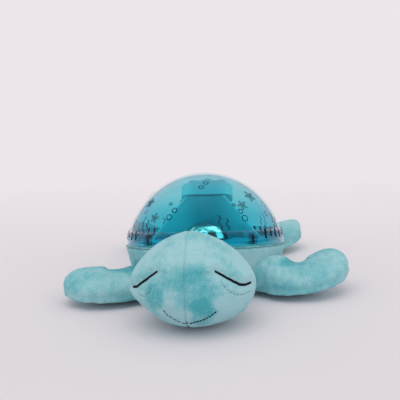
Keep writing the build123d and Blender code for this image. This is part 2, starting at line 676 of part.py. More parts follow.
def drive_pinion():
    """Small gear pressed on the motor's shaft, in mesh with the turntable."""
    bore = disc(MOTOR_SHAFT_RADIUS, GEAR_BOTTOM - OVERCUT, GEAR_TOP + OVERCUT)
    return Pos(-CENTRE_DISTANCE, 0, 0) * (gear(PINION_TEETH, 180 / PINION_TEETH) - bore)


def led_board():
    """Round board under the collar."""
    board = disc(LED_BOARD_RADIUS, FRAME_BOTTOM - BOARD_THICKNESS, FRAME_BOTTOM)
    for x, y in around(2, LED_BOARD_SCREW_CIRCLE, 90):
        low = FRAME_BOTTOM - BOARD_THICKNESS - OVERCUT
        board -= disc(SMALL_SCREW_RADIUS + SCREW_GAP, low, FRAME_BOTTOM + OVERCUT, x, y)
    return board


def led_board_screws():
    """Two screws that hold the lamp board to the frame."""
    one = small_screw(BOARD_THICKNESS + LED_SCREW_BITE)
    places = around(2, LED_BOARD_SCREW_CIRCLE, 90)
    return group(Pos(x, y, FRAME_BOTTOM - BOARD_THICKNESS) * one for x, y in places)


def projector_leds():
    """Round-nosed lamps that shine up through the lens."""
    straight = LED_HEIGHT - LED_RADIUS
    lamp = disc(LED_RADIUS, 0, straight) + Pos(0, 0, straight) * Sphere(LED_RADIUS)
    lamp += disc(LED_RADIUS + LED_RIM, 0, LED_RIM_HEIGHT)
    return group(Pos(x, y, FRAME_BOTTOM) * lamp for x, y in around(LED_COUNT, LED_CIRCLE, 45))


# ---- tub, batteries, speaker and board ----
def tub_form(inset, floor, top):
    """Tapered round form from the level foot to the leaning rim plane."""
    foot = Pos(0, 0, floor) * Circle(FOOT_RADIUS - inset)
    rim = UNIT * Pos(0, 0, top) * Circle(TUB_TOP_RADIUS - inset)
    return loft([foot, rim])


def tub_wall():
    """Floor, side wall and flange of the tub."""
    tub = tub_form(0, 0, TUB_FLANGE_BOTTOM) - tub_form(TUB_WALL, TUB_FLOOR, TUB_FLANGE_BOTTOM)
    flange = ring(TUB_FLANGE_RADIUS, TUB_MOUTH_RADIUS, TUB_FLANGE_BOTTOM, TUB_FLANGE_TOP)
    for x, y in around(SHELL_BOSS_COUNT, SHELL_BOSS_CIRCLE, BOSS_TURN):
        low = TUB_FLANGE_BOTTOM - OVERCUT
        flange -= disc(SCREW_RADIUS + SCREW_GAP, low, TUB_FLANGE_TOP + OVERCUT, x, y)
    tub += UNIT * flange
    inside = tub_form(TUB_WALL / 2, 0, TUB_FLANGE_BOTTOM)
    for x, y in around(DECK_BOSS_COUNT, DECK_BOSS_CIRCLE):
        boss = disc(DECK_BOSS_RADIUS, TUB_FLANGE_BOTTOM - DECK_BOSS_DEPTH, TUB_FLANGE_BOTTOM, x, y)
        tub += (UNIT * boss) & inside
        tub += UNIT * disc(DECK_BOSS_RADIUS, TUB_FLANGE_BOTTOM, TUB_FLANGE_TOP, x, y)
    for x, y in around(DECK_BOSS_COUNT, DECK_BOSS_CIRCLE):
        tub -= UNIT * disc(SMALL_SCREW_RADIUS, -DECK_SCREW_LENGTH - OVERCUT, OVERCUT, x, y)
    return tub


def bay_box(wall, low, high):
    """Block over the battery bay, grown by a wall."""
    return block(CELL_BAY_LENGTH + 2 * wall, CELL_BAY_WIDTH + 2 * wall, low, high, 0, BAY_CENTRE_Y)


def door_recess(wall, low, high):
    """Block over the door's seat, grown by a wall."""
    front = BAY_FRONT - DOOR_FRONT_LIP - wall
    rear = BAY_FRONT + CELL_BAY_WIDTH + DOOR_REAR_LIP + wall
    length = CELL_BAY_LENGTH + 2 * (DOOR_SIDE_LIP + wall)
    return block(length, rear - front, low, high, 0, (front + rear) / 2)


def grille():
    """Slots in the floor in front of the speaker, longest in the middle."""
    slots = []
    for step in range(GRILLE_SLOTS):
        offset = (step - (GRILLE_SLOTS - 1) / 2) * GRILLE_PITCH
        half = math.sqrt((SPEAKER_RADIUS - GRILLE_MARGIN) ** 2 - offset**2)
        slot = SlotOverall(2 * half, GRILLE_SLOT_WIDTH)
        slots.append(Pos(0, SPEAKER_Y + offset, -OVERCUT) * extrude(slot, TUB_FLOOR + 2 * OVERCUT))
    return slots


def board_post_places():
    """Centres of the posts under the main board."""
    across = MAIN_BOARD_LENGTH / 2 - BOARD_SCREW_INSET_X
    along = MAIN_BOARD_WIDTH / 2 - BOARD_SCREW_INSET_Y
    return [(x, MAIN_BOARD_Y + y) for x in (-across, across) for y in (-along, along)]


def base_tub():
    """Hard tub with its battery bay, speaker ring, board posts and deck bosses."""
    tub = tub_wall()
    seat = DOOR_TOP + FIT_GAP
    tub += door_recess(BAY_WALL, 0, seat + DOOR_LIP_THICKNESS)
    tub += bay_box(BAY_WALL, 0, BAY_TOP + BAY_WALL)
    tub += disc(POST_RADIUS, TUB_FLOOR, DOOR_TOP + DOOR_POST_HEIGHT, 0, DOOR_SCREW_Y)
    tub -= bay_box(0, -OVERCUT, BAY_TOP)
    tub -= door_recess(0, -OVERCUT, seat)
    post_end = DOOR_TOP + DOOR_POST_HEIGHT - DOOR_POST_END
    tub -= disc(SMALL_SCREW_RADIUS, 0, post_end, 0, DOOR_SCREW_Y)
    wall_inner = SPEAKER_RADIUS + FIT_GAP
    wall_outer = wall_inner + SPEAKER_WALL_THICKNESS
    wall_top = TUB_FLOOR + SPEAKER_WALL_HEIGHT
    tub += Pos(0, SPEAKER_Y, 0) * ring(wall_outer, wall_inner, SPEAKER_WELL_DEPTH, wall_top)
    tub -= disc(SPEAKER_RADIUS + SPEAKER_WELL_MARGIN, -OVERCUT, SPEAKER_WELL_DEPTH, 0, SPEAKER_Y)
    for slot in grille():
        tub -= slot
    for x, y in board_post_places():
        tub += disc(POST_RADIUS, TUB_FLOOR, MAIN_BOARD_Z, x, y)
        tub -= disc(SMALL_SCREW_RADIUS, MAIN_BOARD_Z - POST_SCREW_DEPTH, MAIN_BOARD_Z + OVERCUT, x, y)
    return tub


def battery_door():
    """Flush door under the cells with a rounded hinge edge, ribs and a screw hole."""
    depth = DOOR_HINGE_Y - DOOR_FRONT_Y
    door = block(DOOR_WIDTH, depth, DOOR_RECESS, DOOR_TOP, 0, DOOR_FRONT_Y + depth / 2)
    barrel = Rot(0, 90, 0) * Cylinder(DOOR_THICKNESS / 2, DOOR_WIDTH)
    door += Pos(0, DOOR_HINGE_Y, DOOR_HINGE_Z) * barrel
    rib_length = CELL_BAY_WIDTH - 2 * DOOR_RIB_SETBACK
    for x in (-DOOR_WIDTH / 4, DOOR_WIDTH / 4):
        rib_top = DOOR_TOP + DOOR_RIB_HEIGHT
        door += block(DOOR_RIB_WIDTH, rib_length, DOOR_TOP, rib_top, x, BAY_CENTRE_Y)
    head_top = DOOR_RECESS + SMALL_HEAD_HEIGHT
    door -= disc(SMALL_HEAD_RADIUS + SCREW_GAP, -OVERCUT, head_top, 0, DOOR_SCREW_Y)
    return door - disc(SMALL_SCREW_RADIUS, -OVERCUT, DOOR_TOP + OVERCUT, 0, DOOR_SCREW_Y)


def door_screw():
    """Captive screw of the battery door, its tip short of the tub's post when backed out."""
    one = small_screw(DOOR_THICKNESS - SMALL_HEAD_HEIGHT)
    return Pos(0, DOOR_SCREW_Y, DOOR_RECESS + SMALL_HEAD_HEIGHT) * one


def cell_rows():
    """Y of each cell's axis."""
    first = BAY_CENTRE_Y - (CELL_COUNT - 1) * CELL_PITCH / 2
    return [first + step * CELL_PITCH for step in range(CELL_COUNT)]


def battery_cells():
    """Three small cells side by side, turned end for end in turn."""
    body = Cylinder(CELL_RADIUS, CELL_LENGTH)
    body = fillet(body.edges(), CELL_EDGE)
    body += Pos(0, 0, (CELL_LENGTH + CELL_NUB_LENGTH) / 2) * Cylinder(CELL_NUB_RADIUS, CELL_NUB_LENGTH)
    cells = []
    for step, y in enumerate(cell_rows()):
        side = 1 if step % 2 == 0 else -1
        place = side * (CELL_BAY_LENGTH / 2 - CONTACT_PLATE - CELL_NUB_LENGTH - CELL_LENGTH / 2)
        cells.append(Pos(place, y, CELL_AXIS_Z) * Rot(0, 90 * side, 0) * body)
    return group(cells)


def contact_plates():
    """Nickel plates at both ends of the bay."""
    low = CELL_AXIS_Z - CONTACT_HEIGHT / 2
    high = CELL_AXIS_Z + CONTACT_HEIGHT / 2
    width = CELL_BAY_WIDTH - 2 * CONTACT_SETBACK
    plates = []
    for side in (-1, 1):
        x = side * (CELL_BAY_LENGTH / 2 - CONTACT_PLATE / 2)
        plates.append(block(CONTACT_PLATE, width, low, high, x, BAY_CENTRE_Y))
    return group(plates)


def contact_springs():
    """Conical coils that press on the flat end of each cell."""
    springs = []
    room = CONTACT_SPACE - 2 * CONTACT_PLATE
    for step, y in enumerate(cell_rows()):
        side = -1 if step % 2 == 0 else 1
        x = side * (CELL_BAY_LENGTH / 2 - CONTACT_PLATE)
        cone = Cone(SPRING_FOOT_RADIUS, SPRING_TIP_RADIUS, room)
        cone -= Cone(SPRING_FOOT_RADIUS - SPRING_WIRE, SPRING_TIP_RADIUS - SPRING_WIRE, room)
        springs.append(Pos(x - side * room / 2, y, CELL_AXIS_Z) * Rot(0, -90 * side, 0) * cone)
    return group(springs)


def speaker_frame():
    """Pressed basket and magnet of the speaker."""
    low = TUB_FLOOR
    rim_top = low + SPEAKER_RIM
    top = rim_top + SPEAKER_BASKET_HEIGHT
    rim = ring(SPEAKER_RADIUS, SPEAKER_RADIUS - SPEAKER_RIM_WIDTH, low, rim_top)
    foot_radius = SPEAKER_RADIUS - SPEAKER_RIM_WIDTH + SPEAKER_BASKET_WALL
    place = Pos(0, 0, (rim_top + top) / 2)
    basket = place * Cone(foot_radius, SPEAKER_MAGNET_RADIUS, SPEAKER_BASKET_HEIGHT)
    basket -= place * Cone(
        foot_radius - SPEAKER_BASKET_WALL,
        SPEAKER_MAGNET_RADIUS - SPEAKER_BASKET_WALL,
        SPEAKER_BASKET_HEIGHT,
    )
    window_low = rim_top + SPEAKER_WINDOW_EDGE
    window_high = top - SPEAKER_WINDOW_EDGE
    window = block(SPEAKER_RADIUS, SPEAKER_WINDOW_WIDTH, window_low, window_high, SPEAKER_RADIUS)
    for step in range(SPEAKER_WINDOWS):
        basket -= Rot(0, 0, 360 * step / SPEAKER_WINDOWS) * window
    magnet = disc(SPEAKER_MAGNET_RADIUS, top, low + SPEAKER_DEPTH)
    return Pos(0, SPEAKER_Y, 0) * (rim + basket + magnet)


def speaker_cone():
    """Paper cone with its dust cap, facing the grille."""
    low = TUB_FLOOR + CONE_CLEARANCE
    mouth = SPEAKER_RADIUS - SPEAKER_RIM_WIDTH
    outer = Cone(mouth, CONE_THROAT_RADIUS, CONE_HEIGHT)
    inner = Cone(mouth - CONE_PAPER, CONE_THROAT_RADIUS - CONE_PAPER, CONE_HEIGHT)
    cone = Pos(0, 0, low + CONE_HEIGHT / 2) * (outer - inner)
    middle = low + CONE_HEIGHT / 2 - DUST_CAP_SINK + DUST_CAP_WALL / 3
    cap = Pos(0, 0, middle) * (Sphere(DUST_CAP_RADIUS) - Sphere(DUST_CAP_RADIUS - DUST_CAP_WALL))
    cap = cap & block(FAR, FAR, middle + DUST_CAP_SINK, FAR)
    return Pos(0, SPEAKER_Y, 0) * (cone + cap)


def main_board():
    """Board over the battery bay."""
    top = MAIN_BOARD_Z + BOARD_THICKNESS
    board = block(MAIN_BOARD_LENGTH, MAIN_BOARD_WIDTH, MAIN_BOARD_Z, top, 0, MAIN_BOARD_Y)
    board = fillet(board.edges().filter_by(Axis.Z), BOARD_CORNER)
    for x, y in board_post_places():
        board -= disc(SMALL_SCREW_RADIUS + SCREW_GAP, MAIN_BOARD_Z - OVERCUT, top + OVERCUT, x, y)
    return board


def board_screws():
    """Screws that hold the main board to its posts."""
    one = small_screw_down(BOARD_THICKNESS + BOARD_SCREW_BITE)
    return group(Pos(x, y, MAIN_BOARD_Z + BOARD_THICKNESS) * one for x, y in board_post_places())


def chip(size, x, y):
    """One block on the main board, from its length, width and height."""
    low = MAIN_BOARD_Z + BOARD_THICKNESS
    return block(size[0], size[1], low, low + size[2], x, y)


def board_chips():
    """Sound chip, store chip, two capacitors and a plug row on the main board."""
    low = MAIN_BOARD_Z + BOARD_THICKNESS
    row = MAIN_BOARD_Y - MAIN_BOARD_WIDTH / 4
    sound_chip = chip(SOUND_CHIP, -MAIN_BOARD_LENGTH / 7, MAIN_BOARD_Y)
    store_chip = chip(STORE_CHIP, MAIN_BOARD_LENGTH / 18, MAIN_BOARD_Y + STORE_CHIP[1])
    plugs = chip(PLUG_ROW, MAIN_BOARD_LENGTH / 4, row)
    capacitors = [
        disc(CAPACITOR_RADIUS, low, low + CAPACITOR_HEIGHT, side * 1.5 * CAPACITOR_RADIUS, row)
        for side in (-1, 1)
    ]
    return group([sound_chip, store_chip, plugs] + capacitors)


# ---- plush ----
def body_form():
    """Outside of the plush body, from the foot to the leaning rim."""
    foot = Pos(0, 0, BODY_BOTTOM) * Circle(BODY_FOOT_RADIUS)
    waist = Pos(0, 0, BODY_WAIST_HEIGHT) * Circle(BODY_WAIST_RADIUS)
    rim = UNIT * Pos(0, 0, BODY_TOP) * Circle(BODY_RIM_RADIUS)
    return loft([foot, waist, rim])


def piping_ring():
    """Full round cord ring at the rim."""
    return Pos(0, 0, PIPING_RADIUS - PIPING_SINK) * Torus(PIPING_CIRCLE, PIPING_RADIUS)


def rim_piping():
    """Cord piping that covers the joint of plush and shell."""
    return piping_ring() - disc(FLANGE_RADIUS, -FLANGE_THICKNESS, 0)


def binding_ring():
    """Outer form of the binding, with its foot hole."""
    outer = FOOT_RADIUS + BINDING_WIDTH
    return disc(outer, BODY_BOTTOM, BODY_BOTTOM + BINDING_HEIGHT) - tub_form(0, 0, TUB_FLANGE_BOTTOM)


def plush_body():
    """Padded sleeve round the tub, open below for the foot and above for the shell."""
    body = body_form() - tub_form(0, 0, TUB_FLANGE_BOTTOM)
    body -= UNIT * disc(FLANGE_RADIUS, TUB_FLANGE_BOTTOM, FAR)
    body -= UNIT * piping_ring()
    groove_outer = SHELL_BOSS_CIRCLE + SCREW_HEAD_RADIUS + SCREW_ROOM
    groove_inner = TUB_MOUTH_RADIUS - OVERCUT
    groove_low = TUB_FLANGE_BOTTOM - SCREW_HEAD_HEIGHT - SCREW_ROOM
    body -= UNIT * ring(groove_outer, groove_inner, groove_low, TUB_FLANGE_BOTTOM + OVERCUT)
    return body - disc(FOOT_RADIUS + BINDING_WIDTH, BODY_BOTTOM - OVERCUT, BODY_BOTTOM + BINDING_HEIGHT)


def flipper_hinge(bearing):
    """Middle of a flipper's hinge line."""
    reach = BODY_WAIST_RADIUS + KNUCKLE_RADIUS + SOFT_GAP
    turn = math.radians(bearing)
    return (reach * math.cos(turn), reach * math.sin(turn), FLIPPER_BOTTOM + KNUCKLE_RADIUS)


def flipper_swell(share):
    """Share of the full width between the root and the widest place."""
    rise = math.sin(math.pi * min(1.0, share / FLIPPER_WIDEST) / 2)
    return FLIPPER_ROOT_SHARE + (1 - FLIPPER_ROOT_SHARE) * rise


def flipper_fullness(share):
    """Round falling off towards the tip, from 1 to nearly 0."""
    past = max(0.0, share - FLIPPER_TAPER_START) / FLIPPER_TAPER_RUN
    return math.sqrt(max(0.0, 1 - past**2))


def flipper(bearing, heading, length, width, sweep, lift):
    """A padded flipper: a curved, lofted blade on a round root roll."""
    x, y, z = flipper_hinge(bearing)
    sections = []
    place = Vector(x, y, z)
    step_length = length * (1 - FLIPPER_TIP_SHARE) / (FLIPPER_STATIONS - 1)
    for station in range(FLIPPER_STATIONS):
        share = station / (FLIPPER_STATIONS - 1)
        turn = math.radians(heading + sweep * share**FLIPPER_CURL)
        forward = Vector(math.cos(turn), math.sin(turn), 0)
        side = Vector(-math.sin(turn), math.cos(turn), 0)
        full = flipper_fullness(share)
        half_width = width / 2 * flipper_swell(share) * full
        thinning = FLIPPER_TIP_THICKNESS + (1 - FLIPPER_TIP_THICKNESS) * full
        half_height = KNUCKLE_RADIUS * FLIPPER_THICKNESS * thinning
        centre = place + Vector(0, 0, lift * share**2)
        plane = Plane(origin=centre, x_dir=side, z_dir=forward)
        sections.append(plane * Ellipse(half_width, half_height))
        place = place + forward * step_length
    blade = loft(sections, ruled=True)
    root = Pos(x, y, z) * Rot(0, 0, bearing) * Rot(90, 0, 0) * Cylinder(KNUCKLE_RADIUS, KNUCKLE_LENGTH)
    root = fillet(root.edges(), KNUCKLE_RADIUS * 0.5)
    return blade + root


def head():
    """Padded head: a broad egg on a neck roll."""
    centre_y = head_centre_y()
    egg = scale(Sphere(1), by=(HEAD_HALF_WIDTH, HEAD_HALF_DEPTH, HEAD_HALF_HEIGHT))
    egg = Pos(HEAD_X, centre_y, HEAD_BOTTOM + HEAD_HALF_HEIGHT) * egg
    roll = fillet(Cylinder(HEAD_NECK_RADIUS, HEAD_NECK_LENGTH).edges(), HEAD_NECK_RADIUS * 0.4)
    return egg + Pos(HEAD_X, neck_y(), HEAD_NECK_HEIGHT) * Rot(0, 90, 0) * roll


def neck_y():
    """Y of the head's nodding line, clear of the body in front of it."""
    return -(BODY_RIM_RADIUS - HEAD_NECK_INSET + HEAD_NECK_RADIUS + SOFT_GAP)


def head_centre_y():
    """Y of the middle of the head."""
    return neck_y() - HEAD_REACH


def tail():
    """Short padded tail sewn to the back of the body."""
    egg = scale(Sphere(1), by=(TAIL_WIDTH / 2, TAIL_LENGTH, TAIL_HEIGHT / 2))
    egg = Pos(0, BODY_WAIST_RADIUS, TAIL_RISE + TAIL_HEIGHT / 2) * egg
    return egg - body_form() - disc(FOOT_RADIUS + BINDING_WIDTH, -OVERCUT, BODY_BOTTOM + BINDING_HEIGHT)


# ---- build ----
os.makedirs("parts", exist_ok=True)

save(dome_shell(), "dome_shell", UNIT)
save(shell_screws(), "shell_screws", UNIT)
for key_name, key_x in zip(("volume_key", "power_key", "sound_key"), KEY_PLACES):
    save(key(key_x), key_name, UNIT * KEYS)
save(control_tower(), "control_tower", UNIT)
save(keypad_board(), "keypad_board", UNIT * KEYS)
save(tact_switches(), "tact_switches", UNIT * KEYS)
save(deck_plate(), "deck_plate", UNIT)
save(deck_screws(), "deck_screws", UNIT)
save(clear_cap(), "clear_cap", UNIT)
save(facet_lens(), "facet_lens", UNIT)
save(lens_carrier(), "lens_carrier", UNIT)
save(retaining_clip(), "retaining_clip", UNIT)
save(optics_frame(), "optics_frame", UNIT)
save(frame_screws(), "frame_screws", UNIT)
save(gear_motor(), "gear_motor", UNIT)
save(motor_screws(), "motor_screws", UNIT)
save(motor_shaft(), "motor_shaft", UNIT)
save(drive_pinion(), "drive_pinion", UNIT)
save(led_board(), "led_board", UNIT)
save(led_board_screws(), "led_board_screws", UNIT)
save(projector_leds(), "projector_leds", UNIT)
save(base_tub(), "base_tub")
save(battery_door(), "battery_door")
save(door_screw(), "door_screw")
save(battery_cells(), "battery_cells")
save(contact_plates(), "contact_plates")
save(contact_springs(), "contact_springs")
save(speaker_frame(), "speaker_frame")
save(speaker_cone(), "speaker_cone")
save(main_board(), "main_board")
save(board_screws(), "board_screws")
save(board_chips(), "board_chips")
save(plush_body(), "plush_body")
save(binding_ring(), "belly_binding")
save(rim_piping(), "rim_piping", UNIT)
save(
    flipper(
        LEFT_ROOT_BEARING,
        LEFT_ROOT_HEADING,
        FRONT_FLIPPER_LENGTH,
        FRONT_FLIPPER_WIDTH,
        FRONT_FLIPPER_SWEEP,
        LEFT_TIP_LIFT,
    ),
    "front_left_flipper",
)
save(
    flipper(
        RIGHT_ROOT_BEARING,
        RIGHT_ROOT_HEADING,
        FRONT_FLIPPER_LENGTH,
        FRONT_FLIPPER_WIDTH,
        -FRONT_FLIPPER_SWEEP,
        RIGHT_TIP_LIFT,
    ),
    "front_right_flipper",
)
for side_name, side_sign in (("left", 1), ("right", -1)):
    side_bearing = 90 - side_sign * (90 - REAR_ROOT_BEARING)
    rear = flipper(
        side_bearing,
        side_bearing,
        REAR_FLIPPER_LENGTH,
        REAR_FLIPPER_WIDTH,
        side_sign * REAR_FLIPPER_SWEEP,
        REAR_TIP_LIFT,
    )
    save(rear, f"rear_{side_name}_flipper")
save(head(), "head")
save(tail(), "tail")
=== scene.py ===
import json
import logging
import math
from collections.abc import Callable
from dataclasses import dataclass, field
from enum import Enum

import bmesh
import bpy
from mathutils import Matrix, Vector, noise
from mathutils.bvhtree import BVHTree


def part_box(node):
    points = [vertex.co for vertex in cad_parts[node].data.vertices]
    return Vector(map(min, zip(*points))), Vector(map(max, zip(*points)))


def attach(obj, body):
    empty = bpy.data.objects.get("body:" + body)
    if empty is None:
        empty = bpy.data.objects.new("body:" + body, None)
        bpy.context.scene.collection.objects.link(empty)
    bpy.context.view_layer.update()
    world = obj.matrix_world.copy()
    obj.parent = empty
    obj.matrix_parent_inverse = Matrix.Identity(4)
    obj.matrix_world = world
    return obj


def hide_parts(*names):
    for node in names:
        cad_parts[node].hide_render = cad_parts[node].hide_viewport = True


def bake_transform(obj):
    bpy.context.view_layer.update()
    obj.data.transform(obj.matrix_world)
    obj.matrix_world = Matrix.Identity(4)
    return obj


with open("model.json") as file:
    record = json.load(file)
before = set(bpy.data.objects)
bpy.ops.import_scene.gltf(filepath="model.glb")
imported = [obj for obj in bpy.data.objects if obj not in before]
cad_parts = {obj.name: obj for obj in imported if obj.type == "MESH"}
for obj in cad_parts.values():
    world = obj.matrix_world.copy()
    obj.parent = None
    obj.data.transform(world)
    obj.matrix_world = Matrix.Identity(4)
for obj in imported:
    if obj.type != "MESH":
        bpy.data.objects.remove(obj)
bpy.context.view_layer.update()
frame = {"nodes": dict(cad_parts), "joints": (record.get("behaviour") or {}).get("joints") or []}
log = logging.getLogger("plush_lamp")

# The finish of a plush sleeping turtle with a clear lamp shell in its back. Metres, +Z up, the
# turtle faces -Y. Lengths are typed in millimetres and multiplied by MM.
MM = 0.001
JOINTS = {joint["name"]: joint for joint in frame["joints"]}
Socket = bpy.types.NodeSocket


def joint_place(name: str) -> Vector:
    """The point that a joint turns about."""
    return Vector(JOINTS[name]["pos_m"])


def joint_axis(name: str) -> Vector:
    """The direction of a joint's axis."""
    return Vector(JOINTS[name]["axis"]).normalized()


def paint(red: float, green: float, blue: float) -> tuple[float, float, float, float]:
    """A scene-linear colour from display values of 0 to 255.

    Args:
        red: red of the colour as it is seen.
        green: green of the colour as it is seen.
        blue: blue of the colour as it is seen.

    Returns:
        The linear colour with a full alpha.
    """
    shares = [value / 255 for value in (red, green, blue)]
    linear = [s / 12.92 if s <= 0.04045 else ((s + 0.055) / 1.055) ** 2.4 for s in shares]
    return (*linear, 1.0)


# ---- the lamp unit's leaning frame ----
RIM_CENTRE = joint_place("lens_spin")
UNIT_AXIS = joint_axis("lens_spin")
UNIT_LEAN = math.atan2(UNIT_AXIS.y, UNIT_AXIS.z)
UNIT = Matrix.Translation(RIM_CENTRE) @ Matrix.Rotation(-UNIT_LEAN, 4, "X")
SHELL_RADIUS = 78.0 * MM
SHELL_SINK = 10.0 * MM
FLANGE_RADIUS = 79.2 * MM


# ---- shader helpers ----
class Shade:
    """A number that varies over a surface, which arithmetic extends with Math nodes."""

    def __init__(self, recipe: "Recipe", socket: Socket) -> None:
        """Keeps the socket that gives the number.

        Args:
            recipe: the material that the socket belongs to.
            socket: the output that gives the number.
        """
        self.recipe = recipe
        self.socket = socket

    def _math(self, operation: str, first: "Shade | float", second: "Shade | float") -> "Shade":
        """Adds one Math node on two values."""
        node = self.recipe.node("ShaderNodeMath", {"operation": operation}, {0: first, 1: second})
        return Shade(self.recipe, node.outputs[0])

    def __add__(self, other: "Shade | float") -> "Shade":
        """The sum of two values."""
        return self._math("ADD", self, other)

    __radd__ = __add__

    def __sub__(self, other: "Shade | float") -> "Shade":
        """The first value less the second."""
        return self._math("SUBTRACT", self, other)

    def __rsub__(self, other: "Shade | float") -> "Shade":
        """A plain number less this value."""
        return self._math("SUBTRACT", other, self)

    def __mul__(self, other: "Shade | float") -> "Shade":
        """The product of two values."""
        return self._math("MULTIPLY", self, other)

    def __pow__(self, other: "Shade | float") -> "Shade":
        """This value to a power."""
        return self._math("POWER", self, other)


class Recipe:
    """A material under construction."""

    def __init__(self, name: str) -> None:
        """Starts an empty material.

        Args:
            name: the material's name.
        """
        self.material = bpy.data.materials.new(name)
        self.material.use_nodes = True
        self.tree = self.material.node_tree
        self.tree.nodes.clear()

    def node(self, kind: str, settings: dict | None = None, sockets: dict | None = None) -> bpy.types.Node:
        """Adds one node.

        Args:
            kind: the node's type.
            settings: the node's own settings, with "stops" for a ramp's positions and colours.
            sockets: a value, a socket or a Shade for each input.

        Returns:
            The new node.
        """
        made = self.tree.nodes.new(kind)
        for key, value in (settings or {}).items():
            if key == "stops":
                self._set_stops(made.color_ramp, value)
            else:
                setattr(made, key, value)
        for key, value in (sockets or {}).items():
            if isinstance(value, Shade):
                value = value.socket
            if isinstance(value, Socket):
                self.tree.links.new(value, made.inputs[key])
            else:
                made.inputs[key].default_value = value
        return made

    @staticmethod
    def _set_stops(ramp: bpy.types.ColorRamp, stops: list[tuple[float, tuple]]) -> None:
        """Sets the positions and colours of a ramp."""
        while len(ramp.elements) < len(stops):
            ramp.elements.new(0.5)
        for element, (position, colour) in zip(ramp.elements, stops):
            element.position = position
            element.color = colour

    def place(self, stretch: tuple[float, float, float] = (1, 1, 1), turn: tuple = (0, 0, 0)) -> Socket:
        """Object coordinates, stretched and turned.

        Args:
            stretch: the scale along each axis.
            turn: the turn about each axis, in radians.

        Returns:
            The socket of the coordinates.
        """
        source = self.node("ShaderNodeTexCoord").outputs["Object"]
        mapping = self.node("ShaderNodeMapping", None, {"Vector": source, "Rotation": turn, "Scale": stretch})
        return mapping.outputs["Vector"]

    def cloud(self, scale: float, detail: float = 2.0, rough: float = 0.5, bend: float = 0.0,
              place: Socket | None = None) -> Shade:
        """Noise over the object.

        Args:
            scale: features in a metre.
            detail: octaves of the noise.
            rough: strength of the finer octaves.
            bend: how much the noise is distorted.
            place: the coordinates, or None for plain object coordinates.

        Returns:
            The noise, from 0 to 1.
        """
        sockets = {"Scale": scale, "Detail": detail, "Roughness": rough, "Distortion": bend}
        sockets["Vector"] = place or self.place()
        return Shade(self, self.node("ShaderNodeTexNoise", None, sockets).outputs["Fac"])

    def span(self, value: Shade, low: float, high: float) -> Shade:
        """A value stretched so that low becomes 0 and high becomes 1, smoothly and clamped."""
        settings = {"interpolation_type": "SMOOTHSTEP"}
        node = self.node("ShaderNodeMapRange", settings, {"Value": value, "From Min": low, "From Max": high})
        return Shade(self, node.outputs["Result"])

    def blend(self, share: Shade | float, first: Socket | tuple, second: Socket | tuple) -> Socket:
        """A mix of two colours.

        Args:
            share: how much of the second colour is used.
            first: the first colour.
            second: the second colour.

        Returns:
            The socket of the mixed colour.
        """
        return self.node("ShaderNodeMix", {"data_type": "RGBA"}, {0: share, 6: first, 7: second}).outputs[2]

    def ramp(self, value: Shade, stops: list[tuple[float, tuple]]) -> Socket:
        """A colour ramp over a value."""
        return self.node("ShaderNodeValToRGB", {"stops": stops}, {"Fac": value}).outputs["Color"]

    def relief(self, height: Shade, strength: float, depth: float, under: Socket | None = None) -> Socket:
        """A bump from a height.

        Args:
            height: the height, in shares of the depth.
            strength: strength of the bump.
            depth: depth of the relief in metres.
            under: a normal that the bump is laid on.

        Returns:
            The socket of the bumped normal.
        """
        sockets = {"Height": height, "Strength": strength, "Distance": depth}
        if under is not None:
            sockets["Normal"] = under
        return self.node("ShaderNodeBump", None, sockets).outputs["Normal"]

    def along(self, axis: str) -> Shade:
        """One object coordinate, named X, Y or Z."""
        split = self.node("ShaderNodeSeparateXYZ", None, {"Vector": self.place()})
        return Shade(self, split.outputs[axis])

    def vectors(self, operation: str, first: Socket | tuple, second: Socket | tuple) -> bpy.types.Node:
        """A Vector Math node on two vectors."""
        return self.node("ShaderNodeVectorMath", {"operation": operation}, {0: first, 1: second})

    def clear(self, tint: tuple) -> bpy.types.Node:
        """A see-through shader of a tint."""
        return self.node("ShaderNodeBsdfTransparent", None, {"Color": tint})

    def mix(self, share: Shade, first: bpy.types.Node, second: bpy.types.Node) -> bpy.types.Node:
        """A mix of two shaders, by the share of the second."""
        return self.node("ShaderNodeMixShader", None, {0: share, 1: first.outputs[0], 2: second.outputs[0]})

    def surface(self, sockets: dict) -> bpy.types.Node:
        """The main shader of the material."""
        return self.node("ShaderNodeBsdfPrincipled", None, sockets)

    def finish(self, shader: bpy.types.Node) -> bpy.types.Material:
        """Joins a shader to the output and returns the material."""
        output = self.node("ShaderNodeOutputMaterial")
        self.tree.links.new(shader.outputs[0], output.inputs["Surface"])
        return self.material


# ---- finishes ----
GRAIN_SCALE = 2400.0
FLOW_SCALE = 26.0


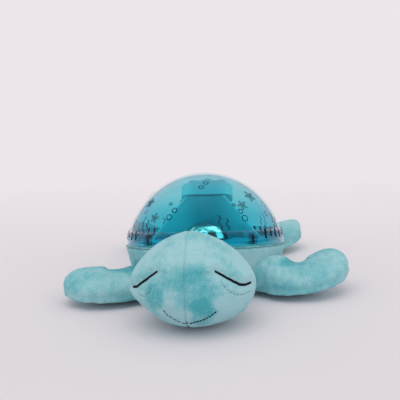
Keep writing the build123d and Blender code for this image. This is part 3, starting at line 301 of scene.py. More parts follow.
@dataclass(frozen=True)
class Plush:
    """Short brushed pile whose nap lies in lighter and darker patches."""

    name: str
    dark: tuple = paint(76, 166, 176)
    middle: tuple = paint(118, 185, 193)
    light: tuple = paint(158, 202, 209)
    patch_scale: float = 24.0
    stroke_scale: float = 170.0
    speck_scale: float = 900.0
    tuft_scale: float = 420.0
    pile_scale: float = 1500.0
    # How far the pile darkens round the listed spots: painted shade where the flipper roots meet the body,
    # and on the face darker spots round the muzzle and left cheek.
    spot_darkening: float = 0.17
    shift: float = 0.0
    paler: float = 0.0
    dark_spots: tuple = ()

    def make(self) -> bpy.types.Material:
        """The material of the pile, darkened round listed spots: painted shade at the flipper roots, and
        darker spots on the face.
        """
        recipe = Recipe(self.name)
        lean = recipe.place((1.0, 1.0, 1.3), (0.3, 0.2, 0.4 + self.shift))
        patches = recipe.cloud(self.patch_scale, 2.0, 0.5, 0.5, lean)
        strokes = recipe.cloud(self.stroke_scale, 3.0, 0.6, 0.4, recipe.place((1.0, 0.5, 1.0), (0, 0, 0.7)))
        specks = recipe.cloud(self.speck_scale, 2.0, 0.6)
        nap = patches * 0.5 + strokes * 0.26 + specks * 0.24 + (0.05 + self.paler)
        place = recipe.place()
        # The pile darkens round each listed spot; at the flipper roots this is painted shade.
        for *centre, radius in self.dark_spots:
            away = recipe.vectors("DISTANCE", place, centre).outputs["Value"]
            uneven = Shade(recipe, away) + (patches - 0.5) * 1.2 * radius
            nap = nap - (1.0 - recipe.span(uneven, 0.55 * radius, 1.35 * radius)) * self.spot_darkening
        stops = [(0.36, self.dark), (0.47, self.middle), (0.59, self.light)]
        colour = recipe.ramp(nap, stops)
        pile = recipe.cloud(self.pile_scale, 3.0, 0.7)
        tufts = recipe.cloud(self.tuft_scale, 2.0, 0.5)
        under = recipe.relief(tufts, 0.35, 0.6 * MM)
        normal = recipe.relief(pile, 0.55, 0.25 * MM, under)
        return recipe.finish(recipe.surface({
            "Base Color": colour, "Roughness": 0.92, "Normal": normal, "Specular IOR Level": 0.15,
            "Sheen Weight": 0.28, "Sheen Roughness": 0.4, "Sheen Tint": paint(214, 244, 248),
        }))


@dataclass(frozen=True)
class Tape:
    """Woven tape or twisted cord."""

    name: str
    colour: tuple = paint(84, 150, 158)
    rib_scale: float = 900.0

    def make(self) -> bpy.types.Material:
        """The material of the tape."""
        recipe = Recipe(self.name)
        ribs = recipe.cloud(self.rib_scale, 2.0, 0.4, 0.0, recipe.place((1.0, 1.0, 0.2)))
        wear = recipe.cloud(120.0, 2.0)
        colour = recipe.blend(recipe.span(wear, 0.35, 0.7), self.colour, paint(120, 178, 184))
        return recipe.finish(recipe.surface({
            "Base Color": colour, "Roughness": 0.85, "Sheen Weight": 0.15,
            "Normal": recipe.relief(ribs, 0.6, 0.3 * MM),
        }))


@dataclass(frozen=True)
class Thread:
    """Satin embroidery thread."""

    name: str
    colour: tuple = paint(8, 16, 24)
    glint: tuple = paint(30, 44, 54)

    def make(self) -> bpy.types.Material:
        """The material of the thread."""
        recipe = Recipe(self.name)
        twist = recipe.cloud(2600.0, 2.0, 0.5)
        return recipe.finish(recipe.surface({
            "Base Color": recipe.blend(recipe.span(twist, 0.45, 0.9), self.colour, self.glint),
            "Roughness": 0.6, "Specular IOR Level": 0.15, "Normal": recipe.relief(twist, 0.4, 0.1 * MM),
        }))


@dataclass(frozen=True)
class ClearWall:
    """Thin clear wall, tinted in the mass, that mirrors its surroundings at a low angle.

    With a low tint it is deeper near the rim plane and turns to its plain tint over the fade.
    """

    name: str
    tint: tuple
    gloss: tuple = (1.0, 0.87, 0.95, 1.0)
    rough: float = 0.02
    index: float = 1.5
    facing_share: float = 0.036
    gain: float = 1.5
    low_tint: tuple = ()
    fade: tuple = (20 * MM, 48 * MM)

    def make(self) -> bpy.types.Material:
        """The material of the wall."""
        recipe = Recipe(self.name)
        ripple = recipe.relief(recipe.cloud(30.0, 2.0, 0.4), 0.1, 0.4 * MM)
        haze = recipe.span(recipe.cloud(60.0, 3.0, 0.6), 0.45, 0.9)
        through = recipe.clear(self.tint)
        if self.low_tint:
            upward = UNIT.col[2].xyz
            along = recipe.vectors("DOT_PRODUCT", recipe.place(), tuple(upward)).outputs["Value"]
            height = Shade(recipe, along) - upward.dot(UNIT.translation)
            through = recipe.mix(recipe.span(height, *self.fade), recipe.clear(self.low_tint), through)
        mirror = recipe.surface({
            "Base Color": self.gloss, "Metallic": 1.0, "Roughness": haze * 0.04 + self.rough,
            "Normal": ripple,
        })
        grazing = Shade(recipe, recipe.node("ShaderNodeFresnel", None, {"IOR": self.index}).outputs[0])
        inside = Shade(recipe, recipe.node("ShaderNodeNewGeometry").outputs["Backfacing"])
        share = (grazing - self.facing_share) * self.gain * (1.0 - inside)
        return recipe.finish(recipe.mix(share, through, mirror))


@dataclass(frozen=True)
class Crystal:
    """Solid clear plastic that bends the light, as a cut lens does.

    With a glint share, random facets get painted glints: a bright colour and a glow in place of reflected
    light, with more of them towards +X as painted light from that side.
    """

    name: str
    tint: tuple
    rough: float = 0.0
    index: float = 1.55
    glint_share: float = 0.0
    facet_step: float = 0.04
    glint_glow: float = 1.7

    def make(self) -> bpy.types.Material:
        """The material of the solid clear piece."""
        recipe = Recipe(self.name)
        haze = recipe.span(recipe.cloud(90.0, 3.0, 0.6), 0.5, 0.9)
        clear = recipe.surface({
            "Base Color": self.tint, "Roughness": haze * 0.03 + self.rough, "IOR": self.index,
            "Transmission Weight": 1.0, "Coat Weight": 0.4, "Coat Roughness": 0.02,
        })
        if not self.glint_share:
            return recipe.finish(clear)
        # Painted glints: random facets take a bright base colour and an emission glow that stand in for
        # reflected light; painted light from +X raises their number.
        normal = recipe.node("ShaderNodeNewGeometry").outputs["True Normal"]
        facet = recipe.vectors("SNAP", normal, (self.facet_step,) * 3).outputs["Vector"]
        lot = recipe.node("ShaderNodeTexWhiteNoise", {"noise_dimensions": "3D"}, {"Vector": facet})
        painted_side_light = recipe.span(recipe.along("X"), -14 * MM, 12 * MM)
        luck = Shade(recipe, lot.outputs["Value"]) + painted_side_light * 0.55 - 0.25
        glint_mask = recipe.span(luck, 0.28, 0.5)
        glint_base = recipe.ramp(luck, [
            (0.4, paint(132, 232, 226)), (0.58, paint(224, 255, 246)), (0.8, paint(255, 255, 255))])
        glint = recipe.ramp(luck, [
            (0.6, paint(0, 0, 0)), (0.72, paint(190, 214, 204)), (0.86, paint(255, 244, 240))])
        painted_glint = recipe.surface({
            "Base Color": glint_base, "Roughness": 0.35, "Coat Weight": 0.6, "Emission Color": glint,
            "Emission Strength": self.glint_glow,
        })
        return recipe.finish(recipe.mix(glint_mask * self.glint_share, clear, painted_glint))


@dataclass(frozen=True)
class Moulding:
    """Opaque moulded plastic with a fine spark-eroded texture and faint flow marks."""

    name: str
    colour: tuple
    rough: float = 0.42
    grain: float = 0.25

    def make(self) -> bpy.types.Material:
        """The material of the moulding."""
        recipe = Recipe(self.name)
        grain = recipe.cloud(GRAIN_SCALE, 2.0, 0.6)
        flow = recipe.cloud(FLOW_SCALE, 2.0, 0.5, 0.5)
        shade = tuple(c * 0.86 for c in self.colour[:3]) + (1.0,)
        colour = recipe.blend(recipe.span(flow, 0.3, 0.8), self.colour, shade)
        return recipe.finish(recipe.surface({
            "Base Color": colour, "Roughness": self.rough + flow * 0.1,
            "Normal": recipe.relief(grain, self.grain, 0.05 * MM),
        }))


@dataclass(frozen=True)
class ShadePaintedMoulding:
    """Moulded plastic with painted shade that darkens it in the middle of the unit, behind the lens cap, and
    its plain colour at the sides.
    """

    name: str
    shaded: tuple
    pale: tuple
    middle: float = 8.0 * MM
    reach: float = 34.0 * MM
    waver: float = 14.0 * MM
    rough: float = 0.3

    def make(self) -> bpy.types.Material:
        """The material of the moulding."""
        recipe = Recipe(self.name)
        across = recipe.along("X")
        flow = recipe.cloud(FLOW_SCALE, 2.0, 0.5, 0.5)
        # Painted shade: the colour darkens towards the middle, X = 0, behind the lens cap.
        beside = (across * across + 1e-6) ** 0.5 + (flow - 0.5) * self.waver
        colour = recipe.blend(recipe.span(beside, self.middle, self.reach), self.shaded, self.pale)
        grain = recipe.cloud(GRAIN_SCALE, 2.0, 0.6)
        return recipe.finish(recipe.surface({
            "Base Color": colour, "Roughness": self.rough + flow * 0.1,
            "Normal": recipe.relief(grain, 0.2, 0.05 * MM),
        }))


@dataclass(frozen=True)
class Metal:
    """Plated or drawn metal with fine lines."""

    name: str
    colour: tuple = paint(196, 197, 200)
    rough: float = 0.3

    def make(self) -> bpy.types.Material:
        """The material of the metal."""
        recipe = Recipe(self.name)
        lines = recipe.cloud(600.0, 2.0, 0.5, 0.0, recipe.place((1.0, 1.0, 8.0)))
        return recipe.finish(recipe.surface({
            "Base Color": self.colour, "Metallic": 1.0, "Roughness": self.rough + lines * 0.15,
            "Normal": recipe.relief(lines, 0.15, 0.05 * MM),
        }))


@dataclass(frozen=True)
class Circuit:
    """Green circuit board with pale copper tracks under the lacquer."""

    name: str

    def make(self) -> bpy.types.Material:
        """The material of the board."""
        recipe = Recipe(self.name)
        settings = {"feature": "DISTANCE_TO_EDGE"}
        cells = recipe.node("ShaderNodeTexVoronoi", settings, {"Vector": recipe.place(), "Scale": 260.0})
        track = 1.0 - recipe.span(Shade(recipe, cells.outputs["Distance"]), 0.03, 0.07)
        colour = recipe.blend(track, paint(18, 84, 52), paint(58, 130, 78))
        return recipe.finish(recipe.surface({
            "Base Color": colour, "Roughness": 0.35, "Normal": recipe.relief(track, 0.3, 0.05 * MM),
        }))


@dataclass(frozen=True)
class Paper:
    """Pressed paper of the speaker's cone."""

    name: str

    def make(self) -> bpy.types.Material:
        """The material of the paper."""
        recipe = Recipe(self.name)
        fibre = recipe.cloud(900.0, 4.0, 0.7, 1.0)
        colour = recipe.blend(recipe.span(fibre, 0.3, 0.7), paint(36, 35, 38), paint(66, 64, 66))
        return recipe.finish(recipe.surface({
            "Base Color": colour, "Roughness": 0.9, "Normal": recipe.relief(fibre, 0.5, 0.1 * MM),
        }))


@dataclass(frozen=True)
class CellWrap:
    """Shrunk wrap of a dry cell: a dark body with a copper-coloured end."""

    name: str
    band_start: float = 6.0 * MM

    def make(self) -> bpy.types.Material:
        """The material of the cells."""
        recipe = Recipe(self.name)
        band = recipe.span(recipe.along("X"), self.band_start, self.band_start + 0.4 * MM)
        scuffs = recipe.cloud(420.0, 3.0, 0.6)
        colour = recipe.blend(band, paint(40, 42, 46), paint(178, 118, 74))
        return recipe.finish(recipe.surface({
            "Base Color": colour, "Roughness": 0.25 + scuffs * 0.2, "Metallic": band * 0.8,
        }))


@dataclass(frozen=True)
class Ink:
    """Thin screen-print ink on the clear shell."""

    name: str
    colour: tuple = paint(4, 24, 40)

    def make(self) -> bpy.types.Material:
        """The material of the ink."""
        recipe = Recipe(self.name)
        patchy = recipe.cloud(700.0, 3.0, 0.6)
        colour = recipe.blend(recipe.span(patchy, 0.5, 0.85), self.colour, paint(10, 60, 82))
        return recipe.finish(recipe.surface({
            "Base Color": colour, "Roughness": 0.65, "Specular IOR Level": 0.1,
        }))


# ---- mesh helpers ----
def new_object(name: str, bm: bmesh.types.BMesh, material: bpy.types.Material) -> bpy.types.Object:
    """Turns a bmesh into an object at the origin.

    Args:
        name: the object's name.
        bm: the finished bmesh, which is freed.
        material: the finish of the piece, whose faces shade smoothly.

    Returns:
        The new object.
    """
    mesh = bpy.data.meshes.new(name)
    bmesh.ops.recalc_face_normals(bm, faces=bm.faces)
    bm.to_mesh(mesh)
    bm.free()
    for polygon in mesh.polygons:
        polygon.use_smooth = True
    mesh.materials.append(material)
    made = bpy.data.objects.new(name, mesh)
    bpy.context.scene.collection.objects.link(made)
    log.info("%s: %d faces", name, len(mesh.polygons))
    return made


def spun_ring(profile: list[tuple[float, float]], steps: int, closed: bool,
              cuts: int = 0) -> bmesh.types.BMesh:
    """A ring made by spinning a profile about the Z axis.

    Args:
        profile: radius and height of each profile point, in metres.
        steps: pieces in the full turn.
        closed: whether the profile's last point joins its first.
        cuts: extra points on each edge of the profile.

    Returns:
        The bmesh of the ring.
    """
    bm = bmesh.new()
    points = [bm.verts.new((radius, 0, height)) for radius, height in profile]
    for first, second in zip(points, points[1:] + points[:1] if closed else points[1:]):
        bm.edges.new((first, second))
    if cuts:
        bmesh.ops.subdivide_edges(bm, edges=bm.edges[:], cuts=cuts)
    geometry = bm.verts[:] + bm.edges[:]
    bmesh.ops.spin(bm, geom=geometry, cent=(0, 0, 0), axis=(0, 0, 1), angle=2 * math.pi, steps=steps,
                   use_merge=True)
    bmesh.ops.remove_doubles(bm, verts=bm.verts, dist=1e-6)
    return bm


def ball_grid(cuts: int) -> bmesh.types.BMesh:
    """A ball of even square faces with a radius of 1.

    Args:
        cuts: cuts across each side of the cube that it grows from.

    Returns:
        The bmesh of the ball.
    """
    bm = bmesh.new()
    bmesh.ops.create_cube(bm, size=2.0)
    bmesh.ops.subdivide_edges(bm, edges=bm.edges[:], cuts=cuts, use_grid_fill=True)
    for vert in bm.verts:
        warped = Vector(math.tan(c * math.pi / 4) for c in vert.co)
        vert.co = warped.normalized()
    return bm


def lumps(place: Vector, size: float, seed: float) -> float:
    """Smooth stuffing lumps of about a size, from -1 to 1."""
    return noise.noise(place / size + Vector((seed, 1.7 * seed, -seed)))


def push_out(bm: bmesh.types.BMesh, how_far: Callable[[Vector, Vector], float]) -> None:
    """Moves every vertex along its normal.

    Args:
        bm: the bmesh to change.
        how_far: gives the move in metres from a vertex's place and normal.
    """
    bm.normal_update()
    moves = [vert.normal * how_far(vert.co, vert.normal) for vert in bm.verts]
    for vert, move in zip(bm.verts, moves):
        vert.co += move


def hollow(distance: float, width: float) -> float:
    """A soft groove's depth, 1 on its line and 0 a few widths away."""
    return math.exp(-((distance / width) ** 2))


def to_line(place: Vector, line: list[Vector]) -> float:
    """Distance of a point from a broken line."""
    best = math.inf
    for start, end in zip(line, line[1:]):
        along = end - start
        share = max(0.0, min(1.0, (place - start).dot(along) / max(along.length_squared, 1e-12)))
        best = min(best, (place - start - share * along).length)
    return best


# ---- view ----
@dataclass
class Viewpoint:
    """The camera, low in front of the turtle's face."""

    place: Vector = field(default_factory=lambda: Vector((0.0646, -0.6167, 0.1958)))
    yaw: float = math.radians(6.317)
    pitch: float = math.radians(10.515)
    roll: float = math.radians(2.5)
    lens: float = 56.44
    sensor: float = 36.0
    picture: float = 400.0

    def matrix(self) -> Matrix:
        """Place and turn of the camera."""
        turn = Matrix.Rotation(self.yaw, 4, "Z") @ Matrix.Rotation(math.pi / 2 - self.pitch, 4, "X")
        return Matrix.Translation(self.place) @ turn @ Matrix.Rotation(-self.roll, 4, "Z")

    def ray(self, across: float, down: float) -> Vector:
        """Direction from the camera through a point of its square picture.

        Args:
            across: distance from the picture's left edge, in its 400 units.
            down: distance from the picture's top edge.

        Returns:
            The unit direction of the ray.
        """
        reach = self.lens / self.sensor * self.picture
        half = self.picture / 2
        return (self.matrix().to_3x3() @ Vector((across - half, half - down, -reach))).normalized()

    def build(self) -> None:
        """Creates the camera."""
        data = bpy.data.cameras.new("view")
        data.lens = self.lens
        data.sensor_width = self.sensor
        data.clip_start = 0.01
        data.dof.use_dof = False
        camera = bpy.data.objects.new("view", data)
        camera.matrix_world = self.matrix()
        bpy.context.scene.collection.objects.link(camera)
        bpy.context.scene.camera = camera


@dataclass(frozen=True)
class Softbox:
    """A round soft lamp that faces the object."""

    name: str
    place: tuple[float, float, float]
    size: float
    power: float

    def build(self) -> None:
        """Creates the lamp."""
        data = bpy.data.lights.new(self.name, "AREA")
        data.shape = "DISK"
        data.size = self.size
        data.energy = self.power
        lamp = bpy.data.objects.new(self.name, data)
        lamp.location = self.place
        lamp.rotation_euler = (-Vector(self.place)).to_track_quat("-Z", "Y").to_euler()
        lamp.visible_glossy = False
        bpy.context.scene.collection.objects.link(lamp)


@dataclass
class Studio:
    """A pale sweep of paper under soft lamps."""

    floor_near: tuple = paint(222, 217, 222)
    floor_far: tuple = paint(236, 230, 234)
    world_level: float = 0.88
    half_width: float = 2.2
    front: float = -1.6
    back: float = 1.5
    height: float = 2.4
    bend: float = 0.6
    lamps: tuple = (
        Softbox("top_softbox", (-0.15, -0.5, 1.3), 1.4, 3.6),
        Softbox("side_softbox", (1.3, -0.9, 0.8), 1.0, 2.2),
    )
    low_sky: tuple = (0.05, (0.8, 0.8, 0.81, 1.0))
    high_sky: tuple = (0.75, (1.0, 0.99, 0.985, 1.0))

    def build(self) -> None:
        """Creates the sweep, the lamps and the world."""
        self._sweep()
        for lamp in self.lamps:
            lamp.build()
        self._world()
        bpy.context.scene.view_settings.view_transform = "Standard"

    def _sweep(self) -> None:
        """Floor that bends up into a back wall."""
        bm = bmesh.new()
        profile = [(self.front, 0.0), (self.back, 0.0), (self.back, self.height)]
        points = [bm.verts.new((-self.half_width, y, z)) for y, z in profile]
        for pair in zip(points, points[1:]):
            bm.edges.new(pair)
        bmesh.ops.bevel(bm, geom=[points[1]], offset=self.bend, segments=12, profile=0.5, affect="VERTICES",
                        material=-1)
        moved = bmesh.ops.extrude_edge_only(bm, edges=bm.edges[:])["geom"]
        corners = [part for part in moved if isinstance(part, bmesh.types.BMVert)]
        bmesh.ops.translate(bm, verts=corners, vec=(2 * self.half_width, 0, 0))
        sweep = new_object("paper_sweep", bm, self._paper())

    def _paper(self) -> bpy.types.Material:
        """Pale matt paper whose far part shows its own colour, so that it stays even."""
        recipe = Recipe("paper_sweep")
        away = recipe.along("Y")
        colour = recipe.blend(recipe.span(away, -0.35, 0.45), self.floor_near, self.floor_far)
        sheet = recipe.surface({"Base Color": colour, "Roughness": 0.9, "Specular IOR Level": 0.1})
        even = recipe.node("ShaderNodeEmission", None, {"Color": self.floor_far})
        rays = recipe.node("ShaderNodeLightPath").outputs
        seen = Shade(recipe, rays["Is Camera Ray"]) + Shade(recipe, rays["Is Glossy Ray"])
        seen = seen + Shade(recipe, rays["Is Transmission Ray"])
        share = recipe.span(seen, 0.0, 1.0) * recipe.span(away, 0.08, 0.7)
        return recipe.finish(recipe.mix(share, sheet, even))

    def _world(self) -> None:
        """Pale light from all round, brighter from above, that is seen as the paper's far colour."""
        world = bpy.data.worlds.new("room")
        world.use_nodes = True
        nodes, links = world.node_tree.nodes, world.node_tree.links
        around = nodes.new("ShaderNodeTexCoord")
        split = nodes.new("ShaderNodeSeparateXYZ")
        ramp = nodes.new("ShaderNodeValToRGB")
        links.new(around.outputs["Generated"], split.inputs["Vector"])
        links.new(split.outputs["Z"], ramp.inputs["Fac"])
        for element, (position, colour) in zip(ramp.color_ramp.elements, (self.low_sky, self.high_sky)):
            element.position = position
            element.color = colour
        links.new(ramp.outputs["Color"], nodes["Background"].inputs["Color"])
        nodes["Background"].inputs["Strength"].default_value = self.world_level
        rays = nodes.new("ShaderNodeLightPath").outputs
        paper = nodes.new("ShaderNodeBackground")
        paper.inputs["Color"].default_value = self.floor_far
        seen = rays["Is Camera Ray"]
        for name in ("Is Glossy Ray", "Is Transmission Ray"):
            either = nodes.new("ShaderNodeMath")
            either.operation = "MAXIMUM"
            links.new(seen, either.inputs[0])
            links.new(rays[name], either.inputs[1])
            seen = either.outputs[0]
        mixed = nodes.new("ShaderNodeMixShader")
        links.new(seen, mixed.inputs[0])
        links.new(nodes["Background"].outputs[0], mixed.inputs[1])
        links.new(paper.outputs[0], mixed.inputs[2])
        links.new(mixed.outputs[0], nodes["World Output"].inputs["Surface"])
        bpy.context.scene.world = world


# ---- rigid pieces ----
class Part(Enum):
    """Finishes of the moulded, metal and clear CAD pieces, by material slot."""

    CLEAR_SHELL = "clear_shell"
    CLEAR_CAP = "clear_cap"
    CRYSTAL = "crystal"
    DECK = "deck"
    TOWER = "tower"
    KEY = "key"
    HOUSING = "housing"
    GEAR = "gear"
    STEEL = "steel"
    MOTOR = "motor"
    BOARD = "board"
    CHIP = "chip"
    LED = "led"
    PAPER = "paper"
    CELL = "cell"
    CONTACT = "contact"


@dataclass
class Hardware:
    """Every rigid node of the lamp unit, dressed by its material slot."""

    shell_tint: tuple = (0.66, 0.915, 0.935, 1.0)
    shell_low_tint: tuple = (0.48, 0.86, 0.905, 1.0)
    cap_tint: tuple = (0.93, 0.985, 0.99, 1.0)
    deck_colour: tuple = paint(70, 224, 240)
    # The tower's painted shade colour in the middle, and its plain colour at the sides.
    tower_shaded_colour: tuple = paint(90, 190, 206)
    tower_edge: tuple = paint(122, 236, 242)

    def finishes(self) -> dict[Part, bpy.types.Material]:
        """One material for each slot."""
        recipes = {
            Part.CLEAR_SHELL: ClearWall("clear_shell", self.shell_tint, low_tint=self.shell_low_tint),
            Part.CLEAR_CAP: ClearWall("clear_cap", self.cap_tint),
            Part.CRYSTAL: Crystal("crystal", (0.97, 1.0, 0.99, 1.0), glint_share=0.85),
            Part.DECK: Moulding("deck", self.deck_colour, 0.3),
            Part.TOWER: ShadePaintedMoulding("tower", self.tower_shaded_colour, self.tower_edge),
            Part.KEY: Moulding("key", paint(120, 190, 200), 0.5, 0.4),
            Part.HOUSING: Moulding("housing", paint(226, 230, 230), 0.45, 0.5),
            Part.GEAR: Moulding("gear", paint(238, 236, 226), 0.35, 0.1),
            Part.STEEL: Metal("steel"),
            Part.MOTOR: Metal("motor", paint(186, 188, 192), 0.35),
            Part.BOARD: Circuit("board"),
            Part.CHIP: Moulding("chip", paint(30, 31, 34), 0.4, 0.5),
            Part.LED: Crystal("led", (0.96, 0.97, 0.93, 1.0), 0.08),
            Part.PAPER: Paper("paper"),
            Part.CELL: CellWrap("cell"),
            Part.CONTACT: Metal("contact", paint(214, 206, 188), 0.25),
        }
        return {part: recipe.make() for part, recipe in recipes.items()}

    def build(self) -> dict[str, bpy.types.Material]:
        """Dresses the rigid nodes.

        Returns:
            The material of each slot.
        """
        made = {part.value: material for part, material in self.finishes().items()}
        for name, node in frame["nodes"].items():
            wanted = node.data.materials[0].name.split(".")[0]
            if wanted in made:
                node.data.materials[0] = made[wanted]
                log.info("%s takes the finish %s", name, wanted)
        return made


@dataclass
class ShellFoot:
    """Clear collar on the shell's flange, and the lip that hangs from it over the tub's edge."""

    outer: float = FLANGE_RADIUS
    inner: float = 78.6 * MM
    top: float = -2.4 * MM
    bottom: float = -4.2 * MM
    wall: float = 0.6 * MM
    collar: tuple = ((79.2, 0.0), (79.1, 2.6), (78.6, 5.2), (77.6, 7.6), (76.4, 9.2), (74.8, 10.6))

    def build(self, clear: bpy.types.Material) -> None:
        """Spins the lip and the collar and leans them with the rim.

        Args:
            clear: the finish of the shell.
        """
        outline = [(self.inner, self.top), (self.outer, self.top), (self.outer, self.bottom + 0.3 * MM),
                   (self.outer - 0.3 * MM, self.bottom), (self.inner, self.bottom)]
        outside = [(radius * MM, height * MM) for radius, height in self.collar]
        inside = [(radius - self.wall, max(0.0, height - self.wall / 2))
                  for radius, height in reversed(outside)]
        for name, profile in (("shell_skirt", outline), ("shell_collar", outside + inside)):
            bm = spun_ring(profile, 180, True)
            bmesh.ops.transform(bm, matrix=UNIT, verts=bm.verts)
            ring = new_object(name, bm, clear)
            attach(ring, "body")


@dataclass
class CellSprings:
    """Conical coils that press on the flat ends of the cells."""

    wire: float = 0.35 * MM
    turns: float = 4.0
    foot_radius: float = 3.5 * MM
    tip_radius: float = 2.0 * MM
    steps_per_turn: int = 20
    rows: int = 3
    room: float = 3.0 * MM

    def build(self) -> None:
        """Winds one coil at each spring's place in its node."""
        low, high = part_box("contact_springs")
        middle = (low.z + high.z) / 2
        pitch = (high.y - low.y - 2 * (self.foot_radius + self.wire)) / (self.rows - 1)
        coils = bmesh.new()
        for row in range(self.rows):
            side = -1 if row % 2 == 0 else 1
            wall = low.x if side < 0 else high.x
            y = low.y + self.foot_radius + self.wire + row * pitch
            self._wind(coils, Vector((wall, y, middle)), -side)
        spring = new_object("contact_coils", coils, Metal("contact_coil", paint(214, 206, 188), 0.25).make())
        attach(spring, "body")
        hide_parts("contact_springs")

    def _wind(self, coils: bmesh.types.BMesh, foot: Vector, way: int) -> None:
        """Adds one coil that stands on a wall.

        Args:
            coils: the bmesh that takes the coil.
            foot: the middle of the coil's foot.
            way: 1 where it stands along +X, -1 along -X.
        """
        bm = bmesh.new()
        start = Matrix.Translation((self.foot_radius, 0, self.wire)) @ Matrix.Rotation(math.pi / 2, 4, "X")
        bmesh.ops.create_circle(bm, segments=8, radius=self.wire, matrix=start)
        steps = int(self.turns * self.steps_per_turn)
        rise = (self.room - 2 * self.wire) / steps
        bmesh.ops.spin(bm, geom=bm.verts[:] + bm.edges[:], cent=(0, 0, 0), axis=(0, 0, 1), dvec=(0, 0, rise),
                       angle=2 * math.pi * self.turns, steps=steps)
        for vert in bm.verts:
            share = max(0.0, min(1.0, (vert.co.z - self.wire) / (self.room - 2 * self.wire)))
            radius = math.hypot(vert.co.x, vert.co.y)
            wanted = radius + share * (self.tip_radius - self.foot_radius)
            vert.co.x *= wanted / radius
            vert.co.y *= wanted / radius
        turn = Matrix.Rotation(way * math.pi / 2, 4, "Y")
        bmesh.ops.transform(bm, matrix=Matrix.Translation(foot) @ turn, verts=bm.verts)
        mesh = bpy.data.meshes.new("coil")
        bm.to_mesh(mesh)
        bm.free()
        coils.from_mesh(mesh)
        bpy.data.meshes.remove(mesh)


